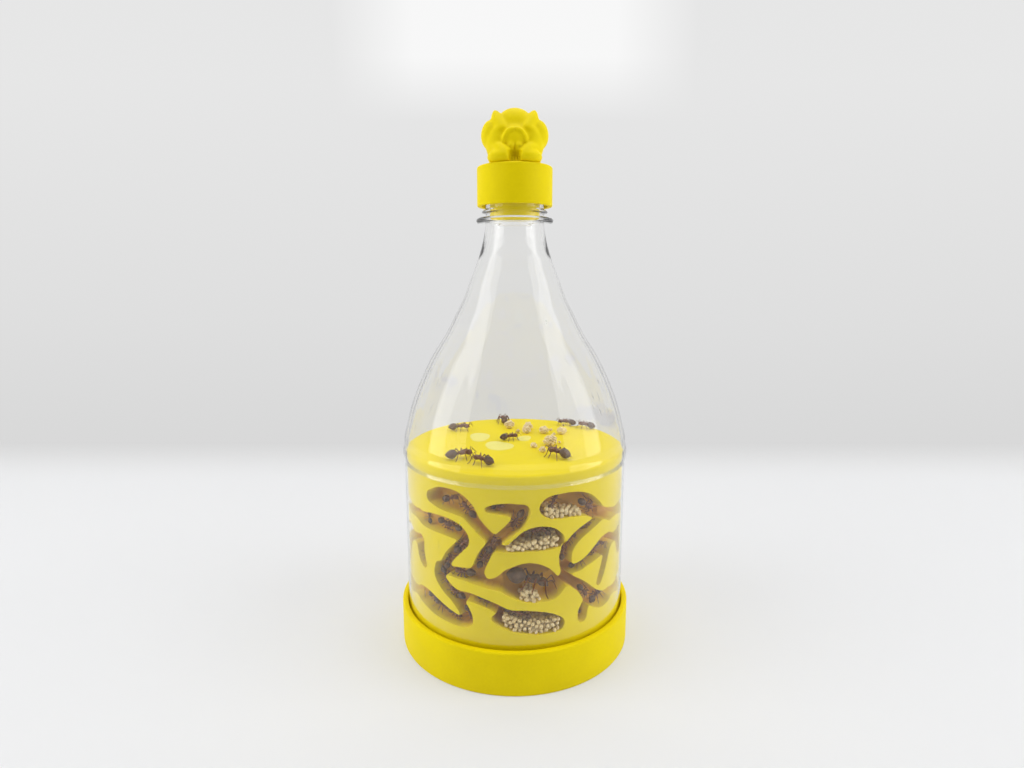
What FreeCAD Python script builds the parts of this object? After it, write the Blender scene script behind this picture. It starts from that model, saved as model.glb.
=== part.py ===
"""Ant habitat: a nest drum carved with galleries stands in a base cup, under a cut bottle.

The bottle slips down over the drum, so its wall closes the galleries. A plug with a vent mesh
hangs in the bottle's neck, and a screw cap that carries an ant's head holds the plug down.
Millimetres, +Z up, origin at the centre of the face that the base cup rests on.
The habitat's front looks along -Y. Azimuths are measured from the front, positive towards +X.
"""
import math
import os

import FreeCAD
import Part

V = FreeCAD.Vector
V2 = FreeCAD.Base.Vector2d
Z = V(0, 0, 1)
CENTRE = V(0, 0, 0)
TURN = 360.0

# Bottle, a cut drinks bottle of clear PET
BOTTLE_RADIUS = 49.5
BOTTLE_WALL = 0.6
PANEL_TOP = 86.0
BEAD_HEIGHT = 2.2
BEAD_STAND = 0.9
SHOULDER = [(92.0, 49.5), (100.0, 48.2), (108.0, 46.1), (124.0, 39.6), (140.0, 30.2), (156.0, 22.0),
            (170.0, 16.6), (180.0, 13.6)]
RIB_COUNT = 8
RIB_FIRST = 22.5
RIB_WIDTH = 1.8
RIB_STAND = 0.45
RIB_LOW = 93.0
RIB_HIGH = 168.0

# Bottle neck finish
NECK_RADIUS = 12.47
BORE_RADIUS = 10.87
RING_RADIUS = 16.5
RING_LOW = 187.1
RING_THICK = 2.0
TAMPER_RADIUS = 14.0
TAMPER_LOW = 191.0
TAMPER_THICK = 1.8
LIP_HEIGHT = 208.0
LIP_CHAMFER = 0.6

# Screw thread, shared by the neck and the cap
PITCH = 3.18
THREAD_RADIUS = 13.72
THREAD_ROOT = 1.9
THREAD_CREST = 0.7
THREAD_LOW = 196.2
THREAD_TURNS = 2.2
THREAD_FIT = 0.3

# Screw cap
CAP_WALL = 2.0
CAP_LOW = 193.9
CAP_TOP = 210.0
CAP_ROOF = 1.2
CAP_EDGE = 0.5
CAP_THREAD_TURNS = 2.0
CAP_THREAD_CREST = 0.6
CAP_THREAD_ROOT = 1.4
VENT_HOLE_RADIUS = 0.75
VENT_HOLE_PITCH = 3.0
VENT_HOLE_COUNT = 3
VENT_HOLE_BACK = 7.4

# Plug and vent mesh in the neck
PLUG_FIT = 0.27
PLUG_WALL = 1.7
PLUG_LOW = 188.4
PLUG_LEDGE = 1.3
PLUG_LEDGE_DEPTH = 1.2
FLANGE_THICK = 0.6
FLANGE_RADIUS = 12.6
LIP_GAP = 0.1
MESH_THICK = 0.3
MESH_FIT = 0.1

# Base cup
CUP_WALL = 2.5
CUP_FIT = 0.4
CUP_HEIGHT = 18.9
CUP_FLOOR = 3.0
CUP_FOOT_EDGE = 0.8
CUP_RIM_EDGE = 0.9
SPIGOT_WALL = 2.6
SPIGOT_HEIGHT = 6.0
SPIGOT_FIT = 0.4

# Nest drum
DRUM_FIT = 0.4
DECK_HEIGHT = 90.0
DECK_THICK = 4.0
DECK_EDGE = 0.6
CORE_RADIUS = 36.0
GALLERY_DEPTH = 6.0
CHAMBER_DEPTH = 9.5
CARVE_CLEAR = 3.0
SECTORS = 3
LINK_HALF_HEIGHT = 2.3
LINK_DEPTH = 5.0
LINK_HEIGHTS = [67.0, 55.5, 31.5]
LINK_START = 54.0
ENTRY_AZIMUTH = 139.0
ENTRY_RADIUS = 3.4
ENTRY_DEPTH = 1.6
ENTRY_LOW = 77.0
WICK_RADIUS = 1.0
WICKS = [(6.5, 44.0), (27.0, 75.0), (12.0, 62.5), (8.0, 28.5)]

# Galleries of one sector, as strokes: azimuth in degrees, height and half width at each station
GALLERIES = {
    "upper_left": [(-44, 77.3, 2.8), (-37, 77.8, 4.7), (-29, 77.4, 4.9), (-23, 75.2, 3.7),
                   (-19, 71.2, 2.7), (-15, 67.6, 2.4), (-11, 64.6, 2.3)],
    "upper_mid": [(-12.5, 76.3, 1.2), (-8, 76.7, 2.1), (-2, 76.5, 2.8), (3, 75.3, 3.2)],
    "upper_fall": [(3.4, 75.5, 3.0), (1.8, 71.8, 3.0), (-1.5, 69, 2.6), (-5.5, 65.8, 2.4), (-9.5, 63, 2.3),
                   (-12.3, 59.8, 2.3), (-15, 56, 2.6), (-18, 50, 2.6)],
    "left_upper": [(-54, 66.8, 2.4), (-50, 66.2, 3.2), (-42, 66.6, 3.8), (-34, 66.5, 3.9),
                   (-27.5, 65.3, 3.4), (-24.5, 62.2, 2.5), (-28, 58.5, 2.3), (-31.8, 55, 2.3),
                   (-34.5, 51.5, 2.3), (-36.5, 47.5, 2.3)],
    "left_passage": [(-38, 48.5, 2.0), (-30, 48.2, 2.4), (-24, 48.3, 2.8), (-17, 48.2, 2.8)],
    "left_diagonal": [(-39, 48, 2.4), (-39.2, 44.6, 2.8), (-35, 40.8, 3), (-29.8, 37.8, 3),
                      (-26, 34.3, 2.8), (-23.3, 30.8, 2.5), (-22.3, 28.4, 1.9)],
    "pillar_top": [(-30, 38.6, 2.0), (-22, 38.9, 1.9), (-15, 37.6, 1.8), (-8.5, 35.6, 1.9),
                   (-2, 32.5, 2.2)],
    "left_edge": [(-54, 55.5, 3.0), (-54, 52, 3.0), (-52.5, 48.5, 2.6), (-50.5, 46.3, 1.8)],
    "right_down": [(45, 67.8, 1.8), (38, 66, 2.2), (31.5, 63.6, 2.4), (27.3, 60.6, 2.5),
                   (24.6, 57.3, 2.9), (24.4, 53.6, 2.8), (24.8, 50.3, 2.4), (24.2, 46, 2.3)],
    "right_branch": [(52, 52, 2.4), (49.5, 46.5, 2.2), (47, 42, 2.0), (45.5, 39.8, 1.6)],
    "right_pocket": [(37, 34, 1.8), (35, 30.5, 2.6), (34.5, 27.6, 2.5)],
    "queen_passage": [(-20, 47.5, 2.3), (-12, 45.8, 2.2), (-5, 46.3, 3.6), (2, 46.6, 5)],
}
# Chambers of one sector, wider and deeper, in the same form
CHAMBERS = {
    "queen_chamber": [(0, 46.8, 6.4), (6.5, 46.6, 8.3), (12, 45.3, 7.3), (17, 43.2, 4.9), (22, 45.2, 3.2)],
    "brood_chamber": [(-10, 60.6, 1.2), (-3, 60.9, 1.6), (2.5, 62.6, 3.2), (8.5, 64.3, 4.9),
                      (15, 64.3, 4.9), (20, 63.2, 3.3)],
    "upper_chamber": [(15.5, 76.8, 3.6), (18, 76.9, 4.8), (24, 76.9, 5.2), (30, 76.6, 5.1),
                      (36, 75.3, 4.6), (41.5, 72.6, 3.6), (47, 69.6, 2.7), (54.5, 67.4, 2.4)],
    "right_chamber": [(25, 50, 2.0), (31, 50, 2.0), (37, 51.5, 2.2), (43, 53.5, 3.2), (48.5, 55.2, 4.0),
                      (52.8, 55.5, 4.0)],
    "low_chamber": [(24, 46.3, 2.2), (29, 44, 2.2), (33.5, 41.2, 2.4), (38, 37, 3.2), (42.5, 33.5, 3.5),
                    (48, 31.2, 3.6), (53.5, 31, 3.4)],
    "grain_chamber": [(-9, 31, 1.8), (-4.5, 30.9, 3.6), (1, 30.3, 4.8), (8, 29.5, 5.1), (15, 28.6, 4.6),
                      (20.5, 27.5, 3.3)],
    "left_chamber": [(-53, 31.8, 3.9), (-48, 31.4, 4.3), (-42, 30.0, 4.1), (-35, 28.6, 3.3),
                     (-28.5, 27.6, 2.6), (-24, 27.6, 2.2)],
}

# Moisture sponge
SPONGE_FIT = 0.4
SPONGE_TOP = 74.0

# Brood and grain beds: chamber, then the azimuths they lie between, and their height
BED_FIT = 0.35
BED_FRONT_GAP = 1.4
BEDS = {
    "queen_brood": ("queen_chamber", -1.0, 17.0, 3.6),
    "middle_brood": ("brood_chamber", 0.0, 19.0, 3.2),
    "upper_brood": ("upper_chamber", 15.0, 34.0, 2.9),
    "grain_store": ("grain_chamber", -4.0, 19.0, 3.2),
}

# Ants: body sections as position along the length, centre height, half height and half width
WORKER_LENGTH = 10.4
GALLERY_SHARE = 0.81
QUEEN_LENGTH = 16.5
BODY = [(0.0, 0.17, 0.03, 0.05), (0.06, 0.19, 0.085, 0.1), (0.15, 0.2, 0.1, 0.115),
        (0.23, 0.2, 0.05, 0.06), (0.26, 0.2, 0.03, 0.03), (0.32, 0.21, 0.07, 0.055), (0.42, 0.2, 0.055, 0.045),
        (0.49, 0.17, 0.025, 0.02), (0.52, 0.18, 0.045, 0.03), (0.555, 0.18, 0.025, 0.025),
        (0.62, 0.2, 0.1, 0.1), (0.74, 0.21, 0.14, 0.15), (0.88, 0.19, 0.12, 0.125), (0.96, 0.17, 0.06, 0.07),
        (1.0, 0.16, 0.02, 0.02)]
LEG_ROOTS = [0.31, 0.37, 0.43]
LEG_REACH = [-0.16, 0.04, 0.22]
LEG_KNEE = (0.15, 0.27)
LEG_FOOT_SPREAD = 0.24
LEG_RADIUS = 0.014
FOOT_GAP = 0.15

# Deck ants: x, y, heading in degrees and size share
DECK_ANTS = [(-28.0, 22.5, 8, 0.92), (-5.6, 37.5, 98, 0.95), (-3.0, 4.5, 25, 0.78), (-23.4, -25.5, 22, 1.06),
             (-12.3, -33.5, 140, 0.98), (18.8, -24.0, 132, 1.16), (27.2, 32.9, 155, 0.8), (36.8, 26.2, 140, 0.8)]
# Gallery ants: gallery or chamber, place along it as a share, heading along the stroke, size share
GALLERY_ANTS = {
    "upper_ants": [("upper_left", 0.22, 1, 0.9), ("upper_left", 0.55, 1, 0.9), ("upper_mid", 0.4, 1, 0.8),
                   ("upper_fall", 0.3, -1, 0.75), ("upper_chamber", 0.45, 1, 0.85), ("upper_chamber", 0.78, 1, 0.7)],
    "middle_ants": [("left_upper", 0.2, 1, 0.9), ("left_upper", 0.42, -1, 0.9), ("left_upper", 0.75, 1, 0.8),
                    ("left_passage", 0.5, 1, 0.9), ("upper_fall", 0.8, 1, 0.85), ("right_down", 0.35, 1, 0.8),
                    ("right_down", 0.75, 1, 0.8), ("right_chamber", 0.75, 1, 0.9)],
    "lower_ants": [("left_diagonal", 0.3, 1, 0.85), ("left_diagonal", 0.75, 1, 0.8), ("left_chamber", 0.2, 1, 0.9),
                   ("left_chamber", 0.55, -1, 0.8), ("pillar_top", 0.4, 1, 0.6), ("low_chamber", 0.7, 1, 0.85),
                   ("right_pocket", 0.8, 1, 0.6)],
}
REAR_ANTS = [("upper_left", 0.3, 1, 0.9), ("queen_chamber", 0.45, 1, 0.9), ("left_upper", 0.4, 1, 0.9),
             ("low_chamber", 0.6, 1, 0.85), ("grain_chamber", 0.5, -1, 0.9)]
QUEEN = ("queen_chamber", 0.3, 1)

# Food on the deck: crumbs as x, y and size, drops as x, y, half width and half length
CRUMBS = [(-2.8, 26.9, 3.8), (6.5, 23.6, 3.6), (5.6, 17.2, 3.2), (14.0, 16.6, 3.5), (17.6, 21.6, 1.6),
          (22.7, 15.2, 3.5), (15.9, -4.8, 4.6), (8.4, -8.4, 2.4), (12.0, -15.6, 2.4), (18.6, 13.2, 1.5),
          (1.6, 19.4, 1.8), (20.4, -1.0, 1.4)]
DROPS = [(-16.6, 9.9, 5.2, 7.0), (-7.1, -5.4, 6.0, 7.6), (4.4, 7.5, 3.4, 4.6)]
DROP_HEIGHT = 0.6
FOOD_GAP = 0.02

# Ant's head on the cap: centre and radii of each lobe, side lobes on both sides
HEAD_LOBES = {
    "skull": ((0, 0, 214.5), (11.2, 10.6, 10.5)),
    "temples": ((0, 0, 221.0), (11.6, 10.4, 9.4)),
    "crown": ((0, -1.2, 227.0), (7.6, 7.6, 6.6)),
    "muzzle": ((0, -7.6, 220.0), (5.6, 4.4, 5.6)),
}
HEAD_SIDE_LOBES = {
    "eye": ((10.1, -2.4, 223.0), (4.0, 5.4, 5.4)),
    "brow": ((5.4, -6.6, 224.2), (2.8, 3.0, 2.4)),
    "cheek": ((7.0, -3.6, 218.4), (5.0, 6.4, 8.0)),
    "jaw": ((4.9, -9.6, 213.2), (6.0, 5.8, 3.5)),
}
HORN_FOOT = (6.3, -3.6, 226.4)
HORN_TIP = (8.0, -3.8, 231.6)
HORN_RADII = (3.0, 0.4)
MOUTH = ((0, -15.0, 214.6), (2.3, 4.0, 2.6))
JAW_TOOTH_COUNT = 4
JAW_TOOTH_PITCH = 1.0
JAW_TOOTH_RADIUS = 0.6
JAW_TOOTH_FOOT = (-12.6, 211.6)
JAW_TOOTH_LENGTH = 2.0

# Sizes that follow
CUP_INNER = BOTTLE_RADIUS + CUP_FIT
CUP_RADIUS = CUP_INNER + CUP_WALL
BOTTLE_INNER = BOTTLE_RADIUS - BOTTLE_WALL
DRUM_RADIUS = BOTTLE_INNER - DRUM_FIT
CAP_RADIUS = THREAD_RADIUS + THREAD_FIT + CAP_WALL
CAP_INNER = CAP_RADIUS - CAP_WALL
PLUG_RADIUS = BORE_RADIUS - PLUG_FIT
PLUG_INNER = PLUG_RADIUS - PLUG_WALL
RING_TOP = RING_LOW + RING_THICK
FLANGE_LOW = LIP_HEIGHT + LIP_GAP
SECTOR_ANGLE = TURN / SECTORS
STROKES = {**GALLERIES, **CHAMBERS}


def save(name, shape):
    """Write one sub-part to its STEP file."""
    shape.exportStep(f"parts/{name}.step")
    print(f"{name}: {len(shape.Solids)} solid(s), {shape.Volume:.1f} mm3")


def revolved(edges):
    """Solid of revolution about Z of a closed profile given as edges in the XZ plane."""
    face = Part.Face(Part.Wire(edges))
    solid = face.revolve(CENTRE, Z, TURN)
    return Part.makeSolid(solid) if solid.ShapeType == "Shell" else solid


def profile(points):
    """Closed profile of straight runs through (radius, height) points."""
    corners = [V(r, 0, z) for r, z in points]
    return Part.makePolygon(corners + corners[:1]).Edges


def spline(points):
    """One smooth edge through (radius, height) points."""
    curve = Part.BSplineCurve()
    curve.interpolate(Points=[V(r, 0, z) for r, z in points])
    return curve.toShape()


def run(points):
    """Straight edges through (radius, height) points, in order."""
    return Part.makePolygon([V(r, 0, z) for r, z in points]).Edges


def ring(outer, inner, low, high):
    """Plain ring about Z."""
    return Part.makeCylinder(outer, high - low, V(0, 0, low)).cut(
        Part.makeCylinder(inner, high - low, V(0, 0, low)))


def place(azimuth, radius, height):
    """Point at an azimuth from the front, a radius and a height."""
    angle = math.radians(azimuth)
    return V(radius * math.sin(angle), -radius * math.cos(angle), height)


# ---------------------------------------------------------------- bottle

def shoulder_points(inset):
    """Shoulder's profile, a wall's thickness inside the outer face or on it."""
    return [(r - inset, z) for z, r in SHOULDER]


def bottle_outer_edges():
    """Outer profile from the cut edge to the lip."""
    bead = PANEL_TOP + BEAD_HEIGHT
    lower = run([(BOTTLE_RADIUS, CUP_FLOOR), (BOTTLE_RADIUS, PANEL_TOP)])
    step = spline([(BOTTLE_RADIUS, PANEL_TOP), (BOTTLE_RADIUS + BEAD_STAND, bead),
                   (SHOULDER[0][1], SHOULDER[0][0])])
    slope = spline(shoulder_points(0) + [(NECK_RADIUS, RING_LOW)])
    tamper_top = TAMPER_LOW + TAMPER_THICK
    finish = run([(NECK_RADIUS, RING_LOW), (RING_RADIUS - 0.6, RING_LOW), (RING_RADIUS, RING_LOW + 0.6),
                  (RING_RADIUS, RING_TOP - 0.6), (RING_RADIUS - 0.8, RING_TOP), (NECK_RADIUS, RING_TOP),
                  (NECK_RADIUS, TAMPER_LOW), (TAMPER_RADIUS, TAMPER_LOW + 0.3),
                  (TAMPER_RADIUS, tamper_top - 0.9), (NECK_RADIUS, tamper_top),
                  (NECK_RADIUS, LIP_HEIGHT - LIP_CHAMFER), (NECK_RADIUS - LIP_CHAMFER, LIP_HEIGHT),
                  (BORE_RADIUS, LIP_HEIGHT)])
    return lower + [step, slope] + finish


def bottle_inner_edges():
    """Inner profile from the lip down to the cut edge."""
    bore = run([(BORE_RADIUS, LIP_HEIGHT), (BORE_RADIUS, RING_LOW)])
    slope = spline([(BORE_RADIUS, RING_LOW)] + shoulder_points(BOTTLE_WALL)[::-1])
    step = spline([(SHOULDER[0][1] - BOTTLE_WALL, SHOULDER[0][0]),
                   (BOTTLE_INNER + BEAD_STAND, PANEL_TOP + BEAD_HEIGHT), (BOTTLE_INNER, PANEL_TOP)])
    lower = run([(BOTTLE_INNER, PANEL_TOP), (BOTTLE_INNER, CUP_FLOOR), (BOTTLE_RADIUS, CUP_FLOOR)])
    return bore + [slope, step] + lower


def shoulder_ribs():
    """Upright ridges between the shoulder's flutes, which fade out at both ends."""
    inner = [(r - BOTTLE_WALL / 2, z) for z, r in SHOULDER[:-1]]
    last = len(inner) - 1
    outer = [(r + RIB_STAND * math.sin(math.pi * i / last), z) for i, (z, r) in enumerate(SHOULDER[:-1])]
    ends = [run([inner[-1], outer[-1]])[0], run([outer[0], inner[0]])[0]]
    sleeve = revolved([spline(inner), ends[0], spline(outer[::-1]), ends[1]])
    height = RIB_HIGH - RIB_LOW
    blade = Part.makeBox(RIB_WIDTH, BOTTLE_RADIUS + RIB_STAND, height, V(-RIB_WIDTH / 2, 0, RIB_LOW))
    step = TURN / RIB_COUNT
    return [sleeve.common(blade.rotated(CENTRE, Z, RIB_FIRST + i * step)) for i in range(RIB_COUNT)]


def thread(inner, outer, wide, narrow, low, turns):
    """Helical ridge whose wide side is at inner or outer radius, whichever carries it."""
    spine = Part.makeHelix(PITCH, PITCH * turns, inner)
    section = Part.makePolygon([V(inner, 0, -wide / 2), V(outer, 0, -narrow / 2), V(outer, 0, narrow / 2),
                                V(inner, 0, wide / 2), V(inner, 0, -wide / 2)])
    ridge = Part.Wire(spine.Edges).makePipeShell([section], True, True)
    ridge.translate(V(0, 0, low))
    return ridge


def bottle():
    """Clear bottle with its bottom cut off, ribbed shoulder, support ring and neck thread."""
    body = revolved(bottle_outer_edges() + bottle_inner_edges())
    sunk = NECK_RADIUS - 0.4
    ridge = thread(sunk, THREAD_RADIUS, THREAD_ROOT, THREAD_CREST, THREAD_LOW, THREAD_TURNS)
    return body.fuse(shoulder_ribs() + [ridge]).removeSplitter()


# ---------------------------------------------------------------- neck plug and cap

def neck_plug():
    """Sleeve in the bore, with a flange on the lip and a ledge for the vent mesh."""
    mouth = PLUG_INNER - PLUG_LEDGE
    return revolved(profile([
        (mouth, PLUG_LOW), (PLUG_RADIUS - PLUG_LEDGE_DEPTH / 2, PLUG_LOW),
        (PLUG_RADIUS, PLUG_LOW + PLUG_LEDGE_DEPTH / 2), (PLUG_RADIUS, FLANGE_LOW),
        (FLANGE_RADIUS, FLANGE_LOW), (FLANGE_RADIUS, FLANGE_LOW + FLANGE_THICK),
        (PLUG_INNER, FLANGE_LOW + FLANGE_THICK), (PLUG_INNER, PLUG_LOW + PLUG_LEDGE_DEPTH),
        (mouth, PLUG_LOW + PLUG_LEDGE_DEPTH)]))


def vent_mesh():
    """Fine mesh disc that lies on the plug's ledge."""
    return Part.makeCylinder(PLUG_INNER - MESH_FIT, MESH_THICK, V(0, 0, PLUG_LOW + PLUG_LEDGE_DEPTH))


def screw_cap():
    """Plain cap with an internal thread half a pitch from the neck's, and vent holes in its roof."""
    shell = revolved(profile([
        (CAP_INNER, CAP_LOW), (CAP_RADIUS - CAP_EDGE, CAP_LOW), (CAP_RADIUS, CAP_LOW + CAP_EDGE),
        (CAP_RADIUS, CAP_TOP - CAP_EDGE), (CAP_RADIUS - CAP_EDGE, CAP_TOP), (0, CAP_TOP),
        (0, CAP_TOP - CAP_ROOF), (CAP_INNER, CAP_TOP - CAP_ROOF)]))
    crest = NECK_RADIUS + THREAD_FIT
    ridge = thread(crest, CAP_INNER + 0.4, CAP_THREAD_CREST, CAP_THREAD_ROOT, THREAD_LOW + PITCH / 2,
                   CAP_THREAD_TURNS)
    first = -VENT_HOLE_PITCH * (VENT_HOLE_COUNT - 1) / 2
    holes = [Part.makeCylinder(VENT_HOLE_RADIUS, 2 * CAP_ROOF,
                               V(first + i * VENT_HOLE_PITCH, VENT_HOLE_BACK, CAP_TOP - 1.5 * CAP_ROOF))
             for i in range(VENT_HOLE_COUNT)]
    return shell.fuse(ridge).cut(holes)


def ellipsoid(centre, radii):
    """Ellipsoid with its axes along X, Y and Z."""
    ball = Part.makeSphere(1.0)
    stretch = FreeCAD.Matrix()
    stretch.scale(*radii)
    stretch.move(V(*centre))
    return ball.transformGeometry(stretch)


def mirrored(point, side):
    """Point on the right side, or its twin on the left."""
    return (point[0] * side, point[1], point[2])


def ant_head():
    """Ant's head that stands on the cap: skull, crown, eyes, horns, cheeks and a mouth with toothed jaws."""
    lobes = [ellipsoid(*lobe) for lobe in HEAD_LOBES.values()]
    for side in (-1, 1):
        lobes += [ellipsoid(mirrored(centre, side), radii) for centre, radii in HEAD_SIDE_LOBES.values()]
        foot, tip = V(*mirrored(HORN_FOOT, side)), V(*mirrored(HORN_TIP, side))
        lobes.append(Part.makeCone(*HORN_RADII, (tip - foot).Length, foot, tip - foot))
    whole = lobes[0].fuse(lobes[1:]).cut(ellipsoid(*MOUTH))
    first = -JAW_TOOTH_PITCH * (JAW_TOOTH_COUNT - 1) / 2
    teeth = [Part.makeCone(JAW_TOOTH_RADIUS, 0.15, JAW_TOOTH_LENGTH,
                           V(first + i * JAW_TOOTH_PITCH, *JAW_TOOTH_FOOT), V(0, -0.2, 1))
             for i in range(JAW_TOOTH_COUNT)]
    whole = whole.fuse(teeth)
    size = 4 * CAP_RADIUS
    above = Part.makeBox(size, size, size, V(-size / 2, -size / 2, CAP_TOP))
    return whole.common(above)


# ---------------------------------------------------------------- base cup and sponge

def base_cup():
    """Cup that the drum and the bottle stand in, with a spigot ring that is also the water trough."""
    cup = revolved(profile([
        (0, 0), (CUP_RADIUS - CUP_FOOT_EDGE, 0), (CUP_RADIUS, CUP_FOOT_EDGE),
        (CUP_RADIUS, CUP_HEIGHT - CUP_RIM_EDGE), (CUP_RADIUS - CUP_RIM_EDGE, CUP_HEIGHT),
        (CUP_INNER + CUP_RIM_EDGE / 2, CUP_HEIGHT), (CUP_INNER, CUP_HEIGHT - CUP_RIM_EDGE / 2),
        (CUP_INNER, CUP_FLOOR), (0, CUP_FLOOR)]))
    outer = CORE_RADIUS - SPIGOT_FIT
    return cup.fuse(ring(outer, outer - SPIGOT_WALL, CUP_FLOOR, CUP_FLOOR + SPIGOT_HEIGHT))


def moisture_sponge():
    """Sponge in the drum's core, with its foot in the water trough."""
    trough = CORE_RADIUS - SPIGOT_FIT - SPIGOT_WALL - SPONGE_FIT
    spigot_top = CUP_FLOOR + SPIGOT_HEIGHT
    body = CORE_RADIUS - SPONGE_FIT
    return revolved(profile([(0, CUP_FLOOR), (trough, CUP_FLOOR), (trough, spigot_top), (body, spigot_top),
                             (body, SPONGE_TOP), (0, SPONGE_TOP)]))


# ---------------------------------------------------------------- galleries

def middle_azimuth(stations):
    """Azimuth that a stroke is carved from."""
    return sum(azimuth for azimuth, height, width in stations) / len(stations)


def flat_stations(stations, inset=0.0):
    """Stations as seen along the stroke's middle azimuth: sideways place, height and half width."""
    middle = middle_azimuth(stations)
    return [(DRUM_RADIUS * math.sin(math.radians(azimuth - middle)), height, width - inset)
            for azimuth, height, width in stations]


def direction(flat, index):
    """Unit direction of a flat stroke at one station."""
    before, after = flat[max(index - 1, 0)], flat[min(index + 1, len(flat) - 1)]
    across, up = after[0] - before[0], after[1] - before[1]
    length = math.hypot(across, up)
    return across / length, up / length


def stroke_outline(flat):
    """Closed outline round a flat stroke: one side, round the end, back along the other side."""
    left, right = [], []
    for index, (x, z, width) in enumerate(flat):
        across, up = direction(flat, index)
        left.append((x - up * width, z + across * width))
        right.append((x + up * width, z - across * width))
    across, up = direction(flat, 0)
    head = (flat[0][0] - across * flat[0][2], flat[0][1] - up * flat[0][2])
    across, up = direction(flat, len(flat) - 1)
    tail = (flat[-1][0] + across * flat[-1][2], flat[-1][1] + up * flat[-1][2])
    return [head] + left + [tail] + right[::-1]


def carved(stations, front, depth, inset=0.0):
    """Stroke as a solid that reaches from a clear distance before the wall to a depth behind it."""
    curve = Part.BSplineCurve()
    outline = stroke_outline(flat_stations(stations, inset))
    curve.interpolate(Points=[V(x, -DRUM_RADIUS - front, z) for x, z in outline], PeriodicFlag=True)
    face = Part.Face(Part.Wire([curve.toShape()]))
    return turned(face.extrude(V(0, front + depth, 0)), middle_azimuth(stations))


def turned(shape, degrees):
    """Copy turned about Z."""
    return shape.rotated(CENTRE, Z, degrees)


def depth_of(name):
    """How deep a gallery or a chamber is carved."""
    return CHAMBER_DEPTH if name in CHAMBERS else GALLERY_DEPTH


def sector_voids():
    """Galleries and chambers of the front sector."""
    return [carved(stations, CARVE_CLEAR, depth_of(name)) for name, stations in STROKES.items()]


def link_grooves():
    """Short level passages that join each sector's galleries to the next sector's."""
    grooves = []
    for height in LINK_HEIGHTS:
        belt = ring(DRUM_RADIUS + 1, DRUM_RADIUS - LINK_DEPTH, height - LINK_HALF_HEIGHT, height + LINK_HALF_HEIGHT)
        wedge = Part.makeCylinder(2 * DRUM_RADIUS, DECK_HEIGHT, CENTRE, Z, SECTOR_ANGLE - 2 * LINK_START)
        groove = belt.common(wedge)
        groove.rotate(CENTRE, Z, LINK_START - 90)
        grooves += [turned(groove, i * SECTOR_ANGLE) for i in range(SECTORS)]
    return grooves


def wick_holes():
    """Small holes that let damp air from the core into the chambers."""
    holes = []
    for azimuth, height in WICKS:
        start = place(azimuth, CORE_RADIUS - 1, height)
        out = place(azimuth, 1, 0)
        hole = Part.makeCylinder(WICK_RADIUS, DRUM_RADIUS - CHAMBER_DEPTH - CORE_RADIUS + 2, start, out)
        holes += [turned(hole, i * SECTOR_ANGLE) for i in range(SECTORS)]
    return holes


def nest_drum():
    """Drum with carved wall, level deck, hollow core and an entry shaft at its rim."""
    blank = revolved(profile([
        (CORE_RADIUS, CUP_FLOOR), (DRUM_RADIUS, CUP_FLOOR), (DRUM_RADIUS, DECK_HEIGHT - DECK_EDGE),
        (DRUM_RADIUS - DECK_EDGE, DECK_HEIGHT), (0, DECK_HEIGHT), (0, DECK_HEIGHT - DECK_THICK),
        (CORE_RADIUS, DECK_HEIGHT - DECK_THICK)]))
    voids = sector_voids()
    for sector in range(SECTORS):
        blank = blank.cut([turned(void, sector * SECTOR_ANGLE) for void in voids])
    entry = Part.makeCylinder(ENTRY_RADIUS, DECK_HEIGHT, place(ENTRY_AZIMUTH, DRUM_RADIUS - ENTRY_DEPTH, ENTRY_LOW))
    return blank.cut(link_grooves() + wick_holes() + [entry])


# ---------------------------------------------------------------- colony

def section(length, station, sides=6):
    """Closed six-sided section of an ant's body at one station."""
    along, centre, high, wide = (length * value for value in station)
    corners = [V(along, wide * math.cos(2 * math.pi * k / sides), centre + high * math.sin(2 * math.pi * k / sides))
               for k in range(sides)]
    return Part.makePolygon(corners + corners[:1])


def leg(length, root, reach, side):
    """Bent leg of two thin prisms, from the body down to the foot."""
    hip = V(root, 0, 0.17) * length
    knee = V(root + reach / 2, side * LEG_KNEE[0], LEG_KNEE[1]) * length
    foot = V(root + reach, side * LEG_FOOT_SPREAD, 0.01) * length
    radius = LEG_RADIUS * length
    bones = []
    for start, end in ((hip, knee), (knee, foot)):
        way = end - start
        bones.append(Part.makeCone(radius, radius * 0.6, way.Length, start, way))
    return bones


def ant(length):
    """Ant along +X with its head at the origin: one lofted body and six legs."""
    body = Part.makeLoft([section(length, station) for station in BODY], True, True)
    legs = [bone for root, reach in zip(LEG_ROOTS, LEG_REACH) for side in (-1, 1)
            for bone in leg(length, root, reach, side)]
    whole = body.fuse(legs)
    whole.translate(V(-length / 2, 0, 0))
    return whole


def along(name, share):
    """Flat place and heading at a share of the way along a stroke."""
    flat = flat_stations(STROKES[name])
    place_on = share * (len(flat) - 1)
    index = min(int(place_on), len(flat) - 2)
    part = place_on - index
    (x0, z0, w0), (x1, z1, w1) = flat[index], flat[index + 1]
    return x0 + part * (x1 - x0), z0 + part * (z1 - z0), math.degrees(math.atan2(z1 - z0, x1 - x0))


def gallery_ant(name, share, way, length):
    """Ant that walks on the back wall of a gallery, head first along the stroke or against it."""
    x, z, heading = along(name, share)
    body = ant(length)
    body.rotate(CENTRE, Z, heading if way > 0 else heading + TURN / 2)
    body.rotate(CENTRE, V(1, 0, 0), 90)
    body.translate(V(x, -(DRUM_RADIUS - depth_of(name)) - FOOT_GAP, z))
    return turned(body, middle_azimuth(STROKES[name]))


def deck_ant(x, y, heading, size):
    """Ant on the deck, with its head towards the heading."""
    body = ant(WORKER_LENGTH * size)
    body.rotate(CENTRE, Z, heading + TURN / 2)
    body.translate(V(x, y, DECK_HEIGHT + FOOT_GAP))
    return body


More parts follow.
